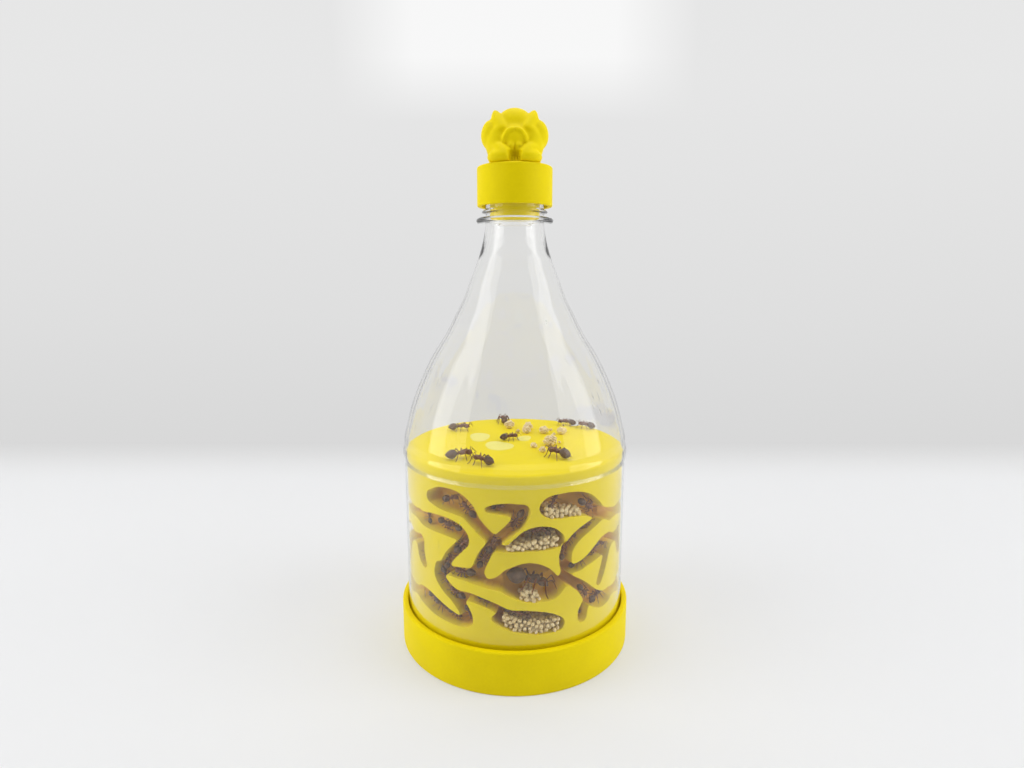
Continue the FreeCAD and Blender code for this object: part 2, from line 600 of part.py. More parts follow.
def queen_ant():
    """Queen in the front sector's largest chamber."""
    return gallery_ant(QUEEN[0], QUEEN[1], QUEEN[2], QUEEN_LENGTH)


def bed(chamber, first, last, height):
    """Pile that fills the foot of a chamber between two azimuths."""
    stations = STROKES[chamber]
    filled = carved(stations, 0.0, CHAMBER_DEPTH - BED_FIT, BED_FIT)
    floor = min(z - w for a, z, w in stations if first <= a <= last)
    reach = DRUM_RADIUS - BED_FRONT_GAP
    slab = Part.makeCylinder(reach, height, V(0, 0, floor - BED_FIT), Z, last - first)
    slab.rotate(CENTRE, Z, first - 90)
    return filled.common(slab)


def crumb(x, y, size):
    """Bit of seed on the deck, a rounded block cut from a ball."""
    ball = Part.makeSphere(size / 2, V(x, y, DECK_HEIGHT + size * 0.36))
    block = Part.makeBox(size, size, size, V(x - size / 2, y - size / 2, DECK_HEIGHT + FOOD_GAP))
    return ball.common(block)


def drop(x, y, half_width, half_length):
    """Flat oval drop of sugar water on the deck."""
    base = DECK_HEIGHT + FOOD_GAP
    ball = ellipsoid((x, y, base), (half_width, half_length, DROP_HEIGHT))
    reach = 2 * half_length
    return ball.common(Part.makeBox(reach, reach, DROP_HEIGHT, V(x - half_length, y - half_length, base)))


def rear_copies(shapes):
    """The same shapes in each of the rear sectors."""
    return [turned(shape, sector * SECTOR_ANGLE) for sector in range(1, SECTORS) for shape in shapes]


def save_colony():
    """Write the ants, the brood and the food, each group of separate solids in its own file."""
    save("queen_ant", queen_ant())
    save("deck_ants", Part.makeCompound([deck_ant(*spot) for spot in DECK_ANTS]))
    length = WORKER_LENGTH * GALLERY_SHARE
    for node, spots in GALLERY_ANTS.items():
        save(node, Part.makeCompound([gallery_ant(name, share, way, length * size)
                                      for name, share, way, size in spots]))
    rear = [gallery_ant(name, share, way, length * size) for name, share, way, size in REAR_ANTS]
    save("rear_ants", Part.makeCompound(rear_copies(rear)))
    beds = {node: bed(*place_in) for node, place_in in BEDS.items()}
    for node, pile in beds.items():
        save(node, pile)
    save("rear_brood", Part.makeCompound(rear_copies(beds.values())))
    save("seed_crumbs", Part.makeCompound([crumb(*spot) for spot in CRUMBS]))
    save("sugar_drops", Part.makeCompound([drop(*spot) for spot in DROPS]))


def main():
    """Build every sub-part and write its STEP file."""
    os.makedirs("parts", exist_ok=True)
    save("bottle", bottle())
    save("neck_plug", neck_plug())
    save("vent_mesh", vent_mesh())
    save("screw_cap", screw_cap())
    save("ant_head", ant_head())
    save("base_cup", base_cup())
    save("moisture_sponge", moisture_sponge())
    save("nest_drum", nest_drum())
    save_colony()


main()
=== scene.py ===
"""Looks of an ant habitat: clear bottle over a carved nest drum, base cup, screw cap with an ant's head.

Each sub-assembly is a class that builds its surfaces with numpy, in millimetres, and dresses them.
The habitat's front looks along -Y. Azimuths are in degrees from the front, positive towards +X.
"""

import logging
import math
from dataclasses import dataclass, field, replace
from enum import Enum
from typing import Optional, Sequence

import bmesh
import bpy
import numpy as np
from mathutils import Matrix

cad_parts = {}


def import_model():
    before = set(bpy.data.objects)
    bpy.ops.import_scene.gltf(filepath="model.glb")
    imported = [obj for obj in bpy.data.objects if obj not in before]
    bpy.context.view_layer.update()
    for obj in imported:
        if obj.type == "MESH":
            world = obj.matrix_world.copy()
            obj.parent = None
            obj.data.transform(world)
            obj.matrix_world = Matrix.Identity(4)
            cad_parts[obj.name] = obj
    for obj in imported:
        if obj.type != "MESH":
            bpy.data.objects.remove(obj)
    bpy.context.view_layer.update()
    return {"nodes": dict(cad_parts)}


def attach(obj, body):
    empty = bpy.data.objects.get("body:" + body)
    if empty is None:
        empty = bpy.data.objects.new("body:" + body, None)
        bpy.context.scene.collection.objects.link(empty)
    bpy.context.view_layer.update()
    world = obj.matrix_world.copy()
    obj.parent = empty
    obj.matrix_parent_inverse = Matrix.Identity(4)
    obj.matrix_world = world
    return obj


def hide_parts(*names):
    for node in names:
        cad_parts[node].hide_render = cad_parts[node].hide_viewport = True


log = logging.getLogger("habitat")

MM = 0.001
FULL = 2.0 * math.pi
SECTORS = 3
SECTOR_ANGLE = 360.0 / SECTORS
THREAD_PITCH = 3.18
THREAD_LOW = 196.2
GOLDEN_TURN = 2.399963
WORLD_LEVEL = 0.75
WORLD_STRENGTH = 0.6


# ---------------------------------------------------------------- surfaces

@dataclass
class Surface:
    """Points in millimetres, with four-sided and three-sided faces and a finish number for each face."""

    points: np.ndarray
    quads: np.ndarray = field(default_factory=lambda: np.zeros((0, 4), int))
    triangles: np.ndarray = field(default_factory=lambda: np.zeros((0, 3), int))
    finish: int = 0
    finishes: Optional[np.ndarray] = None

    def face_finishes(self) -> np.ndarray:
        """Finish number of every face, quads first."""
        if self.finishes is not None:
            return self.finishes
        return np.full(len(self.quads) + len(self.triangles), self.finish, int)

    def placed(self, axes: np.ndarray, origin: np.ndarray) -> "Surface":
        """Copy whose own X, Y and Z lie along three given directions.

        Args:
            axes: three rows, the directions of X, Y and Z.
            origin: where the surface's origin goes.

        Returns:
            The placed copy.
        """
        return Surface(self.points @ axes + origin, self.quads, self.triangles, self.finish, self.finishes)

    def turned(self, degrees: float) -> "Surface":
        """Copy turned about the Z axis."""
        return self.placed(turn_axes(degrees), np.zeros(3))


def turn_axes(degrees: float) -> np.ndarray:
    """Rows of a turn about Z, for points written as rows."""
    angle = math.radians(degrees)
    return np.array([[math.cos(angle), math.sin(angle), 0.0], [-math.sin(angle), math.cos(angle), 0.0],
                     [0.0, 0.0, 1.0]])


def joined(surfaces: Sequence[Surface]) -> Surface:
    """One surface of several, each keeping its own faces and finishes.

    Args:
        surfaces: the surfaces, in order.

    Returns:
        The joined surface.
    """
    offsets = np.cumsum([0] + [len(s.points) for s in surfaces[:-1]])
    quads = np.concatenate([s.quads + o for s, o in zip(surfaces, offsets)])
    triangles = np.concatenate([s.triangles + o for s, o in zip(surfaces, offsets)])
    finishes = np.concatenate([s.face_finishes()[:len(s.quads)] for s in surfaces]
                              + [s.face_finishes()[len(s.quads):] for s in surfaces])
    return Surface(np.concatenate([s.points for s in surfaces]), quads, triangles, 0, finishes)


def loft(rings: np.ndarray, ends: Optional[np.ndarray] = None, loop: bool = False, finish: int = 0) -> Surface:
    """Skin over rings: quads join each ring to the next, round the ring's own loop.

    Args:
        rings: points by ring and place on the ring.
        ends: middle points that close the first and the last ring by a fan. None takes their means.
        loop: the last ring joins the first, and nothing is closed.
        finish: finish number of the faces.

    Returns:
        The closed surface.
    """
    rows, columns = rings.shape[:2]
    index = np.arange(rows * columns).reshape(rows, columns)
    here, there = (index, np.roll(index, -1, 0)) if loop else (index[:-1], index[1:])
    quads = np.stack([here, there, np.roll(there, -1, 1), np.roll(here, -1, 1)], -1).reshape(-1, 4)
    points = rings.reshape(-1, 3)
    if loop:
        return Surface(points, quads, finish=finish)
    middles = rings[[0, -1]].mean(1) if ends is None else np.asarray(ends, float)
    low, high = np.full(columns, rows * columns), np.full(columns, rows * columns + 1)
    first = np.stack([index[0], np.roll(index[0], -1), low], -1)
    last = np.stack([np.roll(index[-1], -1), index[-1], high], -1)
    return Surface(np.concatenate([points, middles]), quads, np.concatenate([first, last]), finish)


def smooth_through(points: Sequence, per_span: int) -> np.ndarray:
    """Smooth line through points: on each span, the cubic whose end slopes are half the step between neighbours.

    Args:
        points: points of any number of values each.
        per_span: steps on each span.

    Returns:
        The line's points, ends included.
    """
    p = np.asarray(points, float)
    p = np.concatenate([[2 * p[0] - p[1]], p, [2 * p[-1] - p[-2]]])
    t = np.linspace(0.0, 1.0, per_span, endpoint=False)[None, :, None]
    a, b, c, d = (p[i:len(p) - 3 + i, None] for i in range(4))
    line = 0.5 * (2 * b + (c - a) * t + (2 * a - 5 * b + 4 * c - d) * t ** 2 + (3 * b - a - 3 * c + d) * t ** 3)
    return np.concatenate([line.reshape(-1, p.shape[1]), p[-2:-1]])


def unit(vectors: np.ndarray) -> np.ndarray:
    """Vectors divided by their lengths."""
    return vectors / np.maximum(np.linalg.norm(vectors, axis=-1, keepdims=True), 1e-12)


def tube(path: np.ndarray, radii: np.ndarray, sides: int = 6, finish: int = 0) -> Surface:
    """Round skin about a path: each ring is its path point plus the radius along two directions square to the path.

    Args:
        path: points of the path.
        radii: radius at each point.
        sides: points of each ring.
        finish: finish number of the faces.

    Returns:
        The closed tube.
    """
    along = unit(np.gradient(path, axis=0))
    helper = np.eye(3)[np.argmin(np.abs(along).mean(0))]
    side = unit(np.cross(along, helper))
    up = np.cross(side, along)
    turn = np.arange(sides) * FULL / sides
    spread = np.cos(turn)[None, :, None] * side[:, None] + np.sin(turn)[None, :, None] * up[:, None]
    rings = path[:, None] + np.asarray(radii)[:, None, None] * spread
    return loft(rings, path[[0, -1]], finish=finish)


def ball(centre: Sequence[float], radii: Sequence[float], around: int = 16, along: int = 10,
         finish: int = 0) -> Surface:
    """Ellipsoid whose poles lie on its X axis: sine and cosine of the polar angle times the radii.

    Args:
        centre: its middle.
        radii: half lengths along X, Y and Z.
        around: points of each ring.
        along: steps from pole to pole.
        finish: finish number of the faces.

    Returns:
        The closed ellipsoid.
    """
    polar = np.linspace(0.0, math.pi, along + 1)[1:-1, None]
    turn = np.arange(around)[None, :] * FULL / around
    rings = np.stack([np.cos(polar) + 0 * turn, np.sin(polar) * np.cos(turn), np.sin(polar) * np.sin(turn)], -1)
    ends = np.array([[1.0, 0, 0], [-1.0, 0, 0]])
    radii, centre = np.asarray(radii, float), np.asarray(centre, float)
    return loft(rings * radii + centre, ends * radii + centre, finish=finish)


def revolved_rings(profile: np.ndarray, steps: int) -> np.ndarray:
    """Rings of a profile's (radius, height) points carried round Z: radius times the turn's sine and cosine.

    Args:
        profile: points of the profile, in order.
        steps: points round each ring.

    Returns:
        Points by profile place and turn.
    """
    turn = np.arange(steps) * FULL / steps
    radius, height = profile[:, 0, None], profile[:, 1, None]
    return np.stack([radius * np.sin(turn), -radius * np.cos(turn), height + 0 * turn], -1)


def lathe(profile: np.ndarray, steps: int) -> Surface:
    """Surface of revolution about Z, whose profile's ends are closed on the axis."""
    return loft(revolved_rings(profile, steps), [[0, 0, profile[0, 1]], [0, 0, profile[-1, 1]]])


def thread_ridge(section: Sequence, low: float, turns: float, steps: int, fade: float = 0.0) -> Surface:
    """Ridge of a thread: a section of (radius, height) points carried up a helix of one pitch a turn.

    Args:
        section: the ridge's section, from foot to foot.
        low: height of the section's middle at its start.
        turns: turns of the helix.
        steps: places along it.
        fade: angle in which the ridge grows out of its foot at each end, or nought.

    Returns:
        The closed ridge.
    """
    section = np.asarray(section, float)
    turn = np.linspace(0.0, turns * FULL, steps)[:, None]
    grown = np.clip(np.minimum(turn, turn[::-1]) / fade, 0.05, 1.0) if fade else 1.0
    radius = section[0, 0] + (section[:, 0] - section[0, 0]) * grown
    height = low + turn * THREAD_PITCH / FULL + section[:, 1]
    return loft(np.stack([radius * np.cos(turn), radius * np.sin(turn), height], -1))


def rounded(corners: Sequence, steps: int = 5) -> np.ndarray:
    """Profile whose corners are arcs: each corner is (radius, height, fillet), drawn as a quadratic curve.

    Args:
        corners: the closed profile's corners in order, each with its fillet's size.
        steps: points of each fillet.

    Returns:
        Profile points.
    """
    corners = np.asarray(corners, float)
    place, size = corners[:, :2], corners[:, 2:3]
    before = unit(np.roll(place, 1, 0) - place) * size
    after = unit(np.roll(place, -1, 0) - place) * size
    t = np.linspace(0.0, 1.0, steps)[None, :, None]
    return (place[:, None] + before[:, None] * (1 - t) ** 2 + after[:, None] * t ** 2).reshape(-1, 2)


def put(name: str, surface: Surface, finishes: Sequence[bpy.types.Material], crease: float = 40.0,
        recalculate: bool = True) -> bpy.types.Object:
    """Make an object of a surface, with its place in its mesh, in metres.

    Args:
        name: the piece's name.
        surface: its points and faces.
        finishes: materials by finish number.
        crease: edges sharper than this many degrees stay sharp.
        recalculate: turn the faces outwards.

    Returns:
        The linked object.
    """
    mesh = bpy.data.meshes.new(name)
    faces = surface.quads.tolist() + surface.triangles.tolist()
    mesh.from_pydata((surface.points * MM).tolist(), [], faces)
    mesh.polygons.foreach_set("material_index", surface.face_finishes().astype(np.int32))
    mesh.polygons.foreach_set("use_smooth", np.ones(len(faces), bool))
    if recalculate:
        work = bmesh.new()
        work.from_mesh(mesh)
        bmesh.ops.recalc_face_normals(work, faces=work.faces)
        work.to_mesh(mesh)
        work.free()
    mesh.set_sharp_from_angle(angle=math.radians(crease))
    for material in finishes:
        mesh.materials.append(material)
    mesh.update()
    piece = bpy.data.objects.new(name, mesh)
    bpy.context.scene.collection.objects.link(piece)
    log.info("%s: %d faces", name, len(faces))
    return piece


def settle(piece: bpy.types.Object, body: str, node: str) -> None:
    """Let a piece ride on a body and let it stand for a CAD node.

    Args:
        piece: the piece.
        body: the body that it moves with.
        node: the CAD node that it replaces.
    """
    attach(piece, body)
    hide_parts(node)


# ---------------------------------------------------------------- node work

class Bench:
    """Adds and joins the nodes of one tree."""

    def __init__(self, tree: bpy.types.NodeTree) -> None:
        """Start with an empty tree."""
        self.tree = tree
        tree.nodes.clear()

    def add(self, kind: str, settings: Optional[dict] = None, **inputs: object) -> bpy.types.Node:
        """Add a node.

        Args:
            kind: the node's type.
            settings: properties of the node itself.
            **inputs: input values or output sockets by input name, with _ for a space; i0, i1 go by number.

        Returns:
            The node.
        """
        node = self.tree.nodes.new(kind)
        for key, value in (settings or {}).items():
            setattr(node, key, value)
        for key, value in inputs.items():
            number = key[1:]
            socket = node.inputs[int(number)] if key[0] == "i" and number.isdigit() else node.inputs[
                key.replace("_", " ")]
            if isinstance(value, bpy.types.NodeSocket):
                self.tree.links.new(value, socket)
            else:
                socket.default_value = value
        return node

    def math(self, operation: str, first: object, second: object = 0.0) -> bpy.types.NodeSocket:
        """Result of one sum on two values or sockets."""
        return self.add("ShaderNodeMath", {"operation": operation}, i0=first, i1=second).outputs[0]

    def blend(self, factor: object, low: object, high: object) -> bpy.types.NodeSocket:
        """Colour between two, by a factor.

        Args:
            factor: nought for the first colour and one for the second.
            low: the first colour or its socket.
            high: the second colour or its socket.

        Returns:
            The mixed colour's socket.
        """
        node = self.add("ShaderNodeMix", {"data_type": "RGBA"}, i0=factor)
        for socket, value in ((node.inputs[6], low), (node.inputs[7], high)):
            if isinstance(value, bpy.types.NodeSocket):
                self.tree.links.new(value, socket)
            else:
                socket.default_value = value
        return node.outputs[2]

    def spread(self, value: object, low: float, high: float, start: float = 0.0,
               end: float = 1.0) -> bpy.types.NodeSocket:
        """Value carried from one range to another, held at its ends."""
        return self.add("ShaderNodeMapRange", i0=value, i1=start, i2=end, i3=low, i4=high).outputs[0]


def group(name: str, inputs: dict, outputs: dict) -> tuple[bpy.types.NodeTree, Bench]:
    """New shader node group with named inputs and outputs.

    Args:
        name: the group's name.
        inputs: socket type and default by input name.
        outputs: socket type by output name.

    Returns:
        The group and the bench to fill it with.
    """
    tree = bpy.data.node_groups.new(name, "ShaderNodeTree")
    bench = Bench(tree)
    for key, (kind, value) in inputs.items():
        socket = tree.interface.new_socket(key, in_out="INPUT", socket_type=kind)
        if value is not None:
            socket.default_value = value
    for key, kind in outputs.items():
        tree.interface.new_socket(key, in_out="OUTPUT", socket_type=kind)
    return tree, bench


class Effects:
    """Shared effects as node groups: fine grain, printed layers, scuffs, and gallery soil with painted recess shade."""

    def __init__(self) -> None:
        """Build each group once."""
        self.grain = self.build_grain()
        self.layers = self.build_layers()
        self.scuffs = self.build_scuffs()
        self.shade_and_soil = self.build_shade_and_soil()

    @staticmethod
    def build_grain() -> bpy.types.NodeTree:
        """Grain: a tone from broad and fine noise, and the fine noise as height."""
        tree, bench = group("fine_grain", {"Vector": ("NodeSocketVector", None), "Broad": ("NodeSocketFloat", 40.0),
                                           "Fine": ("NodeSocketFloat", 900.0)},
                            {"Tone": "NodeSocketFloat", "Height": "NodeSocketFloat"})
        given = bench.add("NodeGroupInput").outputs
        broad = bench.add("ShaderNodeTexNoise", Vector=given["Vector"], Scale=given["Broad"], Detail=3.0)
        fine = bench.add("ShaderNodeTexNoise", Vector=given["Vector"], Scale=given["Fine"], Detail=2.0)
        tone = bench.math("ADD", bench.math("MULTIPLY", broad.outputs[0], 0.7),
                          bench.math("MULTIPLY", fine.outputs[0], 0.3))
        bench.add("NodeGroupOutput", Tone=tone, Height=fine.outputs[0])
        return tree

    @staticmethod
    def build_layers() -> bpy.types.NodeTree:
        """Printed layers: a rounded ridge for each layer up the Z axis, a little uneven."""
        tree, bench = group("printed_layers", {"Vector": ("NodeSocketVector", None),
                                               "Pitch": ("NodeSocketFloat", 0.0002)}, {"Height": "NodeSocketFloat"})
        given = bench.add("NodeGroupInput").outputs
        height = bench.add("ShaderNodeSeparateXYZ", Vector=given["Vector"]).outputs[2]
        wander = bench.add("ShaderNodeTexNoise", Vector=given["Vector"], Scale=120.0, Detail=1.0).outputs[0]
        place = bench.math("ADD", height, bench.math("MULTIPLY", wander, 0.00012))
        turns = bench.math("MULTIPLY", bench.math("DIVIDE", place, given["Pitch"]), FULL)
        bench.add("NodeGroupOutput", Height=bench.math("SINE", turns))
        return tree

    @staticmethod
    def build_scuffs() -> bpy.types.NodeTree:
        """Scuffs: thin marks where a stretched noise passes its threshold, within the patches of a broad noise."""
        tree, bench = group("handling_scuffs", {"Vector": ("NodeSocketVector", None),
                                                "Amount": ("NodeSocketFloat", 0.5)}, {"Mask": "NodeSocketFloat"})
        given = bench.add("NodeGroupInput").outputs
        bent = bench.add("ShaderNodeMapping", Vector=given["Vector"], Rotation=(0.3, 0.4, 0.2),
                         Scale=(1.0, 1.0, 0.2))
        marks = bench.add("ShaderNodeTexNoise", Vector=bent.outputs[0], Scale=330.0, Detail=4.0).outputs[0]
        patches = bench.add("ShaderNodeTexNoise", Vector=given["Vector"], Scale=55.0, Detail=2.0).outputs[0]
        sharp = bench.spread(marks, 0.0, 1.0, 0.64, 0.7)
        where = bench.spread(patches, 0.0, 1.0, 0.54, 0.66)
        both = bench.math("MULTIPLY", bench.math("MULTIPLY", sharp, where), given["Amount"])
        bench.add("NodeGroupOutput", Mask=both)
        return tree

    @staticmethod
    def build_shade_and_soil() -> bpy.types.NodeTree:
        """Painted recess shade mixed with the soil that ants leave: full on the galleries' back walls, darker by depth
        behind the drum's face, and patchy.
        """
        tree, bench = group("gallery_shade_and_soil", {"Vector": ("NodeSocketVector", None),
                                             "Radius": ("NodeSocketFloat", 0.0485)}, {"Mask": "NodeSocketFloat"})
        given = bench.add("NodeGroupInput").outputs
        place = bench.add("ShaderNodeSeparateXYZ", Vector=given["Vector"]).outputs
        square = bench.math("ADD", bench.math("MULTIPLY", place[0], place[0]),
                            bench.math("MULTIPLY", place[1], place[1]))
        behind = bench.math("SUBTRACT", given["Radius"], bench.math("SQRT", square))
        patches = bench.add("ShaderNodeTexNoise", Vector=given["Vector"], Scale=260.0, Detail=3.0).outputs[0]
        wander = bench.spread(patches, -0.0012, 0.0012, 0.3, 0.7)
        # Painted recess shade: the mask grows with depth behind the drum's face, so deeper hollows get darker.
        deep = bench.spread(bench.math("ADD", behind, wander), 0.0, 0.9, 0.0012, 0.0058)
        below = bench.spread(place[2], 1.0, 0.0, 0.088, 0.0885)
        bench.add("NodeGroupOutput", Mask=bench.math("MULTIPLY", deep, below))
        return tree


class Coat(Enum):
    """Which surface relief a finish has."""

    LAYERS = "layers"
    GRAIN = "grain"


@dataclass(frozen=True)
class Plain:
    """Opaque finish: two tones mixed by grain, with its roughness range and relief."""

    name: str
    low: tuple[float, float, float]
    high: tuple[float, float, float]
    rough: tuple[float, float] = (0.4, 0.55)
    coat: Coat = Coat.GRAIN
    relief: float = 0.15
    depth: float = 0.00004
    broad: float = 40.0
    fine: float = 900.0
    metallic: float = 0.0
    specular: float = 0.5
    # Colour of the painted recess shade mixed with soil, blended in by depth in the galleries.
    shade_and_soil_colour: Optional[tuple[float, float, float]] = None

    def material(self, effects: Effects) -> bpy.types.Material:
        """Build the finish.

        Args:
            effects: the shared node groups.

        Returns:
            The material.
        """
        material = bpy.data.materials.new(self.name)
        material.use_nodes = True
        bench = Bench(material.node_tree)
        place = bench.add("ShaderNodeTexCoord").outputs["Object"]
        grain = bench.add("ShaderNodeGroup", {"node_tree": effects.grain}, Vector=place, Broad=self.broad,
                          Fine=self.fine)
        tone = bench.spread(grain.outputs["Tone"], 0.0, 1.0, 0.35, 0.65)
        height = grain.outputs["Height"]
        if self.coat is Coat.LAYERS:
            height = bench.add("ShaderNodeGroup", {"node_tree": effects.layers}, Vector=place).outputs[0]
        bump = bench.add("ShaderNodeBump", Strength=self.relief, Distance=self.depth, Height=height)
        colour = bench.blend(tone, self.low + (1.0,), self.high + (1.0,))
        # Painted recess shade and soil: a darker colour blended in deep in the galleries.
        if self.shade_and_soil_colour:
            shade_and_soil = bench.add("ShaderNodeGroup", {"node_tree": effects.shade_and_soil}, Vector=place).outputs[0]
            colour = bench.blend(shade_and_soil, colour, self.shade_and_soil_colour + (1.0,))
        shader = bench.add("ShaderNodeBsdfPrincipled", Base_Color=colour,
                           Roughness=bench.spread(tone, *self.rough), Normal=bump.outputs[0],
                           Metallic=self.metallic, Specular_IOR_Level=self.specular)
        bench.add("ShaderNodeOutputMaterial", Surface=shader.outputs[0])
        return material


@dataclass(frozen=True)
class Clear:
    """See-through finish: tinted and scuffed, with the lamps' light passing straight through."""

    name: str
    tint: tuple[float, float, float]
    rough: float = 0.02
    marked: float = 0.35
    bends: float = 1.42
    shine: float = 0.22
    scuffs: float = 0.8
    swell: float = 0.12

    def material(self, effects: Effects) -> bpy.types.Material:
        """Build the finish.

        Args:
            effects: the shared node groups.

        Returns:
            The material.
        """
        material = bpy.data.materials.new(self.name)
        material.use_nodes = True
        bench = Bench(material.node_tree)
        place = bench.add("ShaderNodeTexCoord").outputs["Object"]
        mask = bench.add("ShaderNodeGroup", {"node_tree": effects.scuffs}, Vector=place, Amount=self.scuffs).outputs[0]
        swell = bench.add("ShaderNodeTexNoise", Vector=place, Scale=60.0, Detail=1.0).outputs[0]
        relief = bench.math("ADD", mask, bench.math("MULTIPLY", swell, self.swell))
        bump = bench.add("ShaderNodeBump", Strength=0.25, Distance=0.0003, Height=relief)
        shader = bench.add("ShaderNodeBsdfPrincipled", Base_Color=self.tint + (1.0,), IOR=self.bends,
                           Roughness=bench.spread(mask, self.rough, self.marked), Normal=bump.outputs[0],
                           Specular_IOR_Level=self.shine, Transmission_Weight=1.0)
        straight = bench.add("ShaderNodeBsdfTransparent", Color=self.tint + (1.0,))
        rays = bench.add("ShaderNodeLightPath").outputs
        factor = bench.math("MAXIMUM", rays["Is Shadow Ray"], rays["Is Diffuse Ray"])
        mixed = bench.add("ShaderNodeMixShader", i0=factor, i1=shader.outputs[0], i2=straight.outputs[0])
        bench.add("ShaderNodeOutputMaterial", Surface=mixed.outputs[0])
        return material


class Finishes:
    """Every finish of the habitat, built once."""

    def __init__(self) -> None:
        """Build the materials."""
        effects = Effects()
        yellow = Plain("printed_yellow", (0.82, 0.65, 0.001), (0.88, 0.71, 0.002), (0.48, 0.6), Coat.LAYERS,
                       0.25, 0.00003, specular=0.1)
        self.yellow = yellow.material(effects)
        # The nest's galleries darken with depth: painted recess shade, partly soil.
        self.nest = replace(yellow, name="nest_yellow", shade_and_soil_colour=(0.68, 0.37, 0.06)).material(effects)
        self.shell = Plain("ant_dark", (0.055, 0.030, 0.016), (0.160, 0.092, 0.050), (0.4, 0.55), relief=0.4,
                           broad=500.0, fine=5000.0, specular=0.4).material(effects)
        self.waist = Plain("ant_brown", (0.120, 0.046, 0.020), (0.240, 0.100, 0.046), (0.4, 0.55), relief=0.4,
                           broad=500.0, fine=5000.0, specular=0.4).material(effects)
        self.limb = Plain("ant_limb", (0.100, 0.040, 0.018), (0.20, 0.08, 0.034), (0.4, 0.55), relief=0.2,
                          broad=500.0, fine=5000.0).material(effects)
        self.brood = Plain("pale_brood", (0.72, 0.55, 0.26), (0.87, 0.73, 0.44), (0.5, 0.7), relief=0.3,
                           broad=420.0, fine=4000.0, specular=0.2).material(effects)
        self.seed = Plain("dry_seed", (0.78, 0.62, 0.34), (0.92, 0.80, 0.54), (0.6, 0.8), relief=0.6, depth=0.0001,
                          broad=620.0, fine=3000.0, specular=0.2).material(effects)
        self.mesh = Plain("fine_mesh", (0.42, 0.42, 0.44), (0.62, 0.62, 0.64), (0.3, 0.5), relief=0.5,
                          metallic=1.0, fine=4000.0).material(effects)
        self.sponge = Plain("damp_sponge", (0.60, 0.57, 0.46), (0.78, 0.76, 0.66), (0.8, 0.95), relief=1.0,
                            depth=0.0004, broad=300.0, fine=1200.0).material(effects)
        self.sugar = Plain("milky_sugar", (0.86, 0.76, 0.12), (0.90, 0.81, 0.20), (0.3, 0.45), relief=0.1,
                           specular=0.3).material(effects)
        self.clear = Clear("clear_bottle", (0.985, 0.985, 0.978)).material(effects)


# ---------------------------------------------------------------- bottle

@dataclass
class Bottle:
    """Clear bottle with its bottom cut off: profile, upright ribs, neck finish and thread."""

    wall: float = 0.6
    bore: float = 10.87
    neck_from: float = 172.0
    neck_run: float = 14.0
    slope: Sequence = ((49.5, 3.0), (49.5, 40.0), (49.5, 83.0), (49.62, 85.0), (50.15, 87.8), (50.0, 90.2),
                       (49.6, 92.6), (49.2, 96.0), (48.2, 100.0), (46.1, 108.0), (43.2, 116.0), (39.6, 124.0),
                       (35.3, 132.0), (30.2, 140.0), (26.0, 148.0), (22.0, 156.0), (19.05, 164.0), (16.6, 170.0),
                       (14.9, 175.0), (13.6, 180.0), (12.85, 184.0), (12.47, 187.0))
    neck_finish: Sequence = ((12.47, 187.1, 0.15), (15.95, 187.1, 0.3), (16.5, 187.75, 0.3), (16.5, 188.5, 0.3),
                             (15.7, 189.1, 0.3), (12.5, 189.1, 0.2), (12.5, 191.0, 0.15), (14.0, 191.3, 0.3),
                             (14.0, 191.95, 0.3), (12.5, 192.8, 0.2), (12.47, 207.5, 0.3), (11.9, 208.0, 0.2),
                             (10.87, 208.0, 0.2))
    thread: Sequence = ((12.1, -0.95), (13.5, -0.42), (13.72, -0.3), (13.72, 0.3), (13.5, 0.42), (12.1, 0.95))
    ribs: int = 8
    rib_first: float = 22.5
    rib_height: float = 0.42
    rib_width: float = 3.2
    rib_span: tuple[float, float] = (90.5, 168.0)
    flute_depth: float = 0.105
    steps: int = 256

    def profile(self) -> tuple[np.ndarray, int]:
        """Closed profile, outer face up and inner face down.

        Returns:
            The points, and how many of them are outside below the support ring.
        """
        outer = smooth_through(self.slope, 6)
        finish = rounded(self.neck_finish, 3)[1:]
        inner = outer[::-1].copy()
        inner[:, 0] -= self.wall
        blend = np.clip((inner[:, 1] - self.neck_from) / self.neck_run, 0, 1) ** 1.5
        inner[:, 0] = inner[:, 0] * (1 - blend) + self.bore * blend
        return np.concatenate([outer[:-1], finish, inner]), len(outer) - 1

    def ribbed(self, rings: np.ndarray, count: int) -> np.ndarray:
        """Rings with the ribs raised: radius plus a bell curve on each rib less a cosine flute, times a sine upwards.

        Args:
            rings: points by profile place and turn.
            count: how many rings from the first are on the outer slope.

        Returns:
            The rings with their ribs.
        """
        radius = np.hypot(rings[..., 0], rings[..., 1])
        azimuth = np.degrees(np.arctan2(rings[..., 0], -rings[..., 1]))
        step = 360.0 / self.ribs
        off = (azimuth - self.rib_first + step / 2) % step - step / 2
        across = np.exp(-(np.radians(off) * radius / self.rib_width) ** 2 * 2.0)
        low, high = self.rib_span
        share = np.clip((rings[..., 2] - low) / (high - low), 0, 1)
        flute = self.flute_depth * np.cos(np.radians(off) * 360.0 / step)
        lift = (self.rib_height * across - flute) * np.sin(math.pi * share)
        part = np.ones(len(rings))
        part[count:] = rings[count:, 0, 2] < self.neck_from
        scale = 1 + (lift * part[:, None]) / np.maximum(radius, 1e-6)
        return rings * np.stack([scale, scale, np.ones_like(scale)], -1)

    def build(self, finishes: Finishes) -> None:
        """Make the bottle and settle it.

        Args:
            finishes: the habitat's finishes.
        """
        profile, count = self.profile()
        shell = loft(self.ribbed(revolved_rings(profile, self.steps), count), loop=True)
        ridge = thread_ridge(self.thread, THREAD_LOW, 2.2, 150, 0.6)
        piece = put("clear_bottle", joined([shell, ridge]), [finishes.clear])
        settle(piece, "bottle", "bottle")


# ---------------------------------------------------------------- base cup and cap

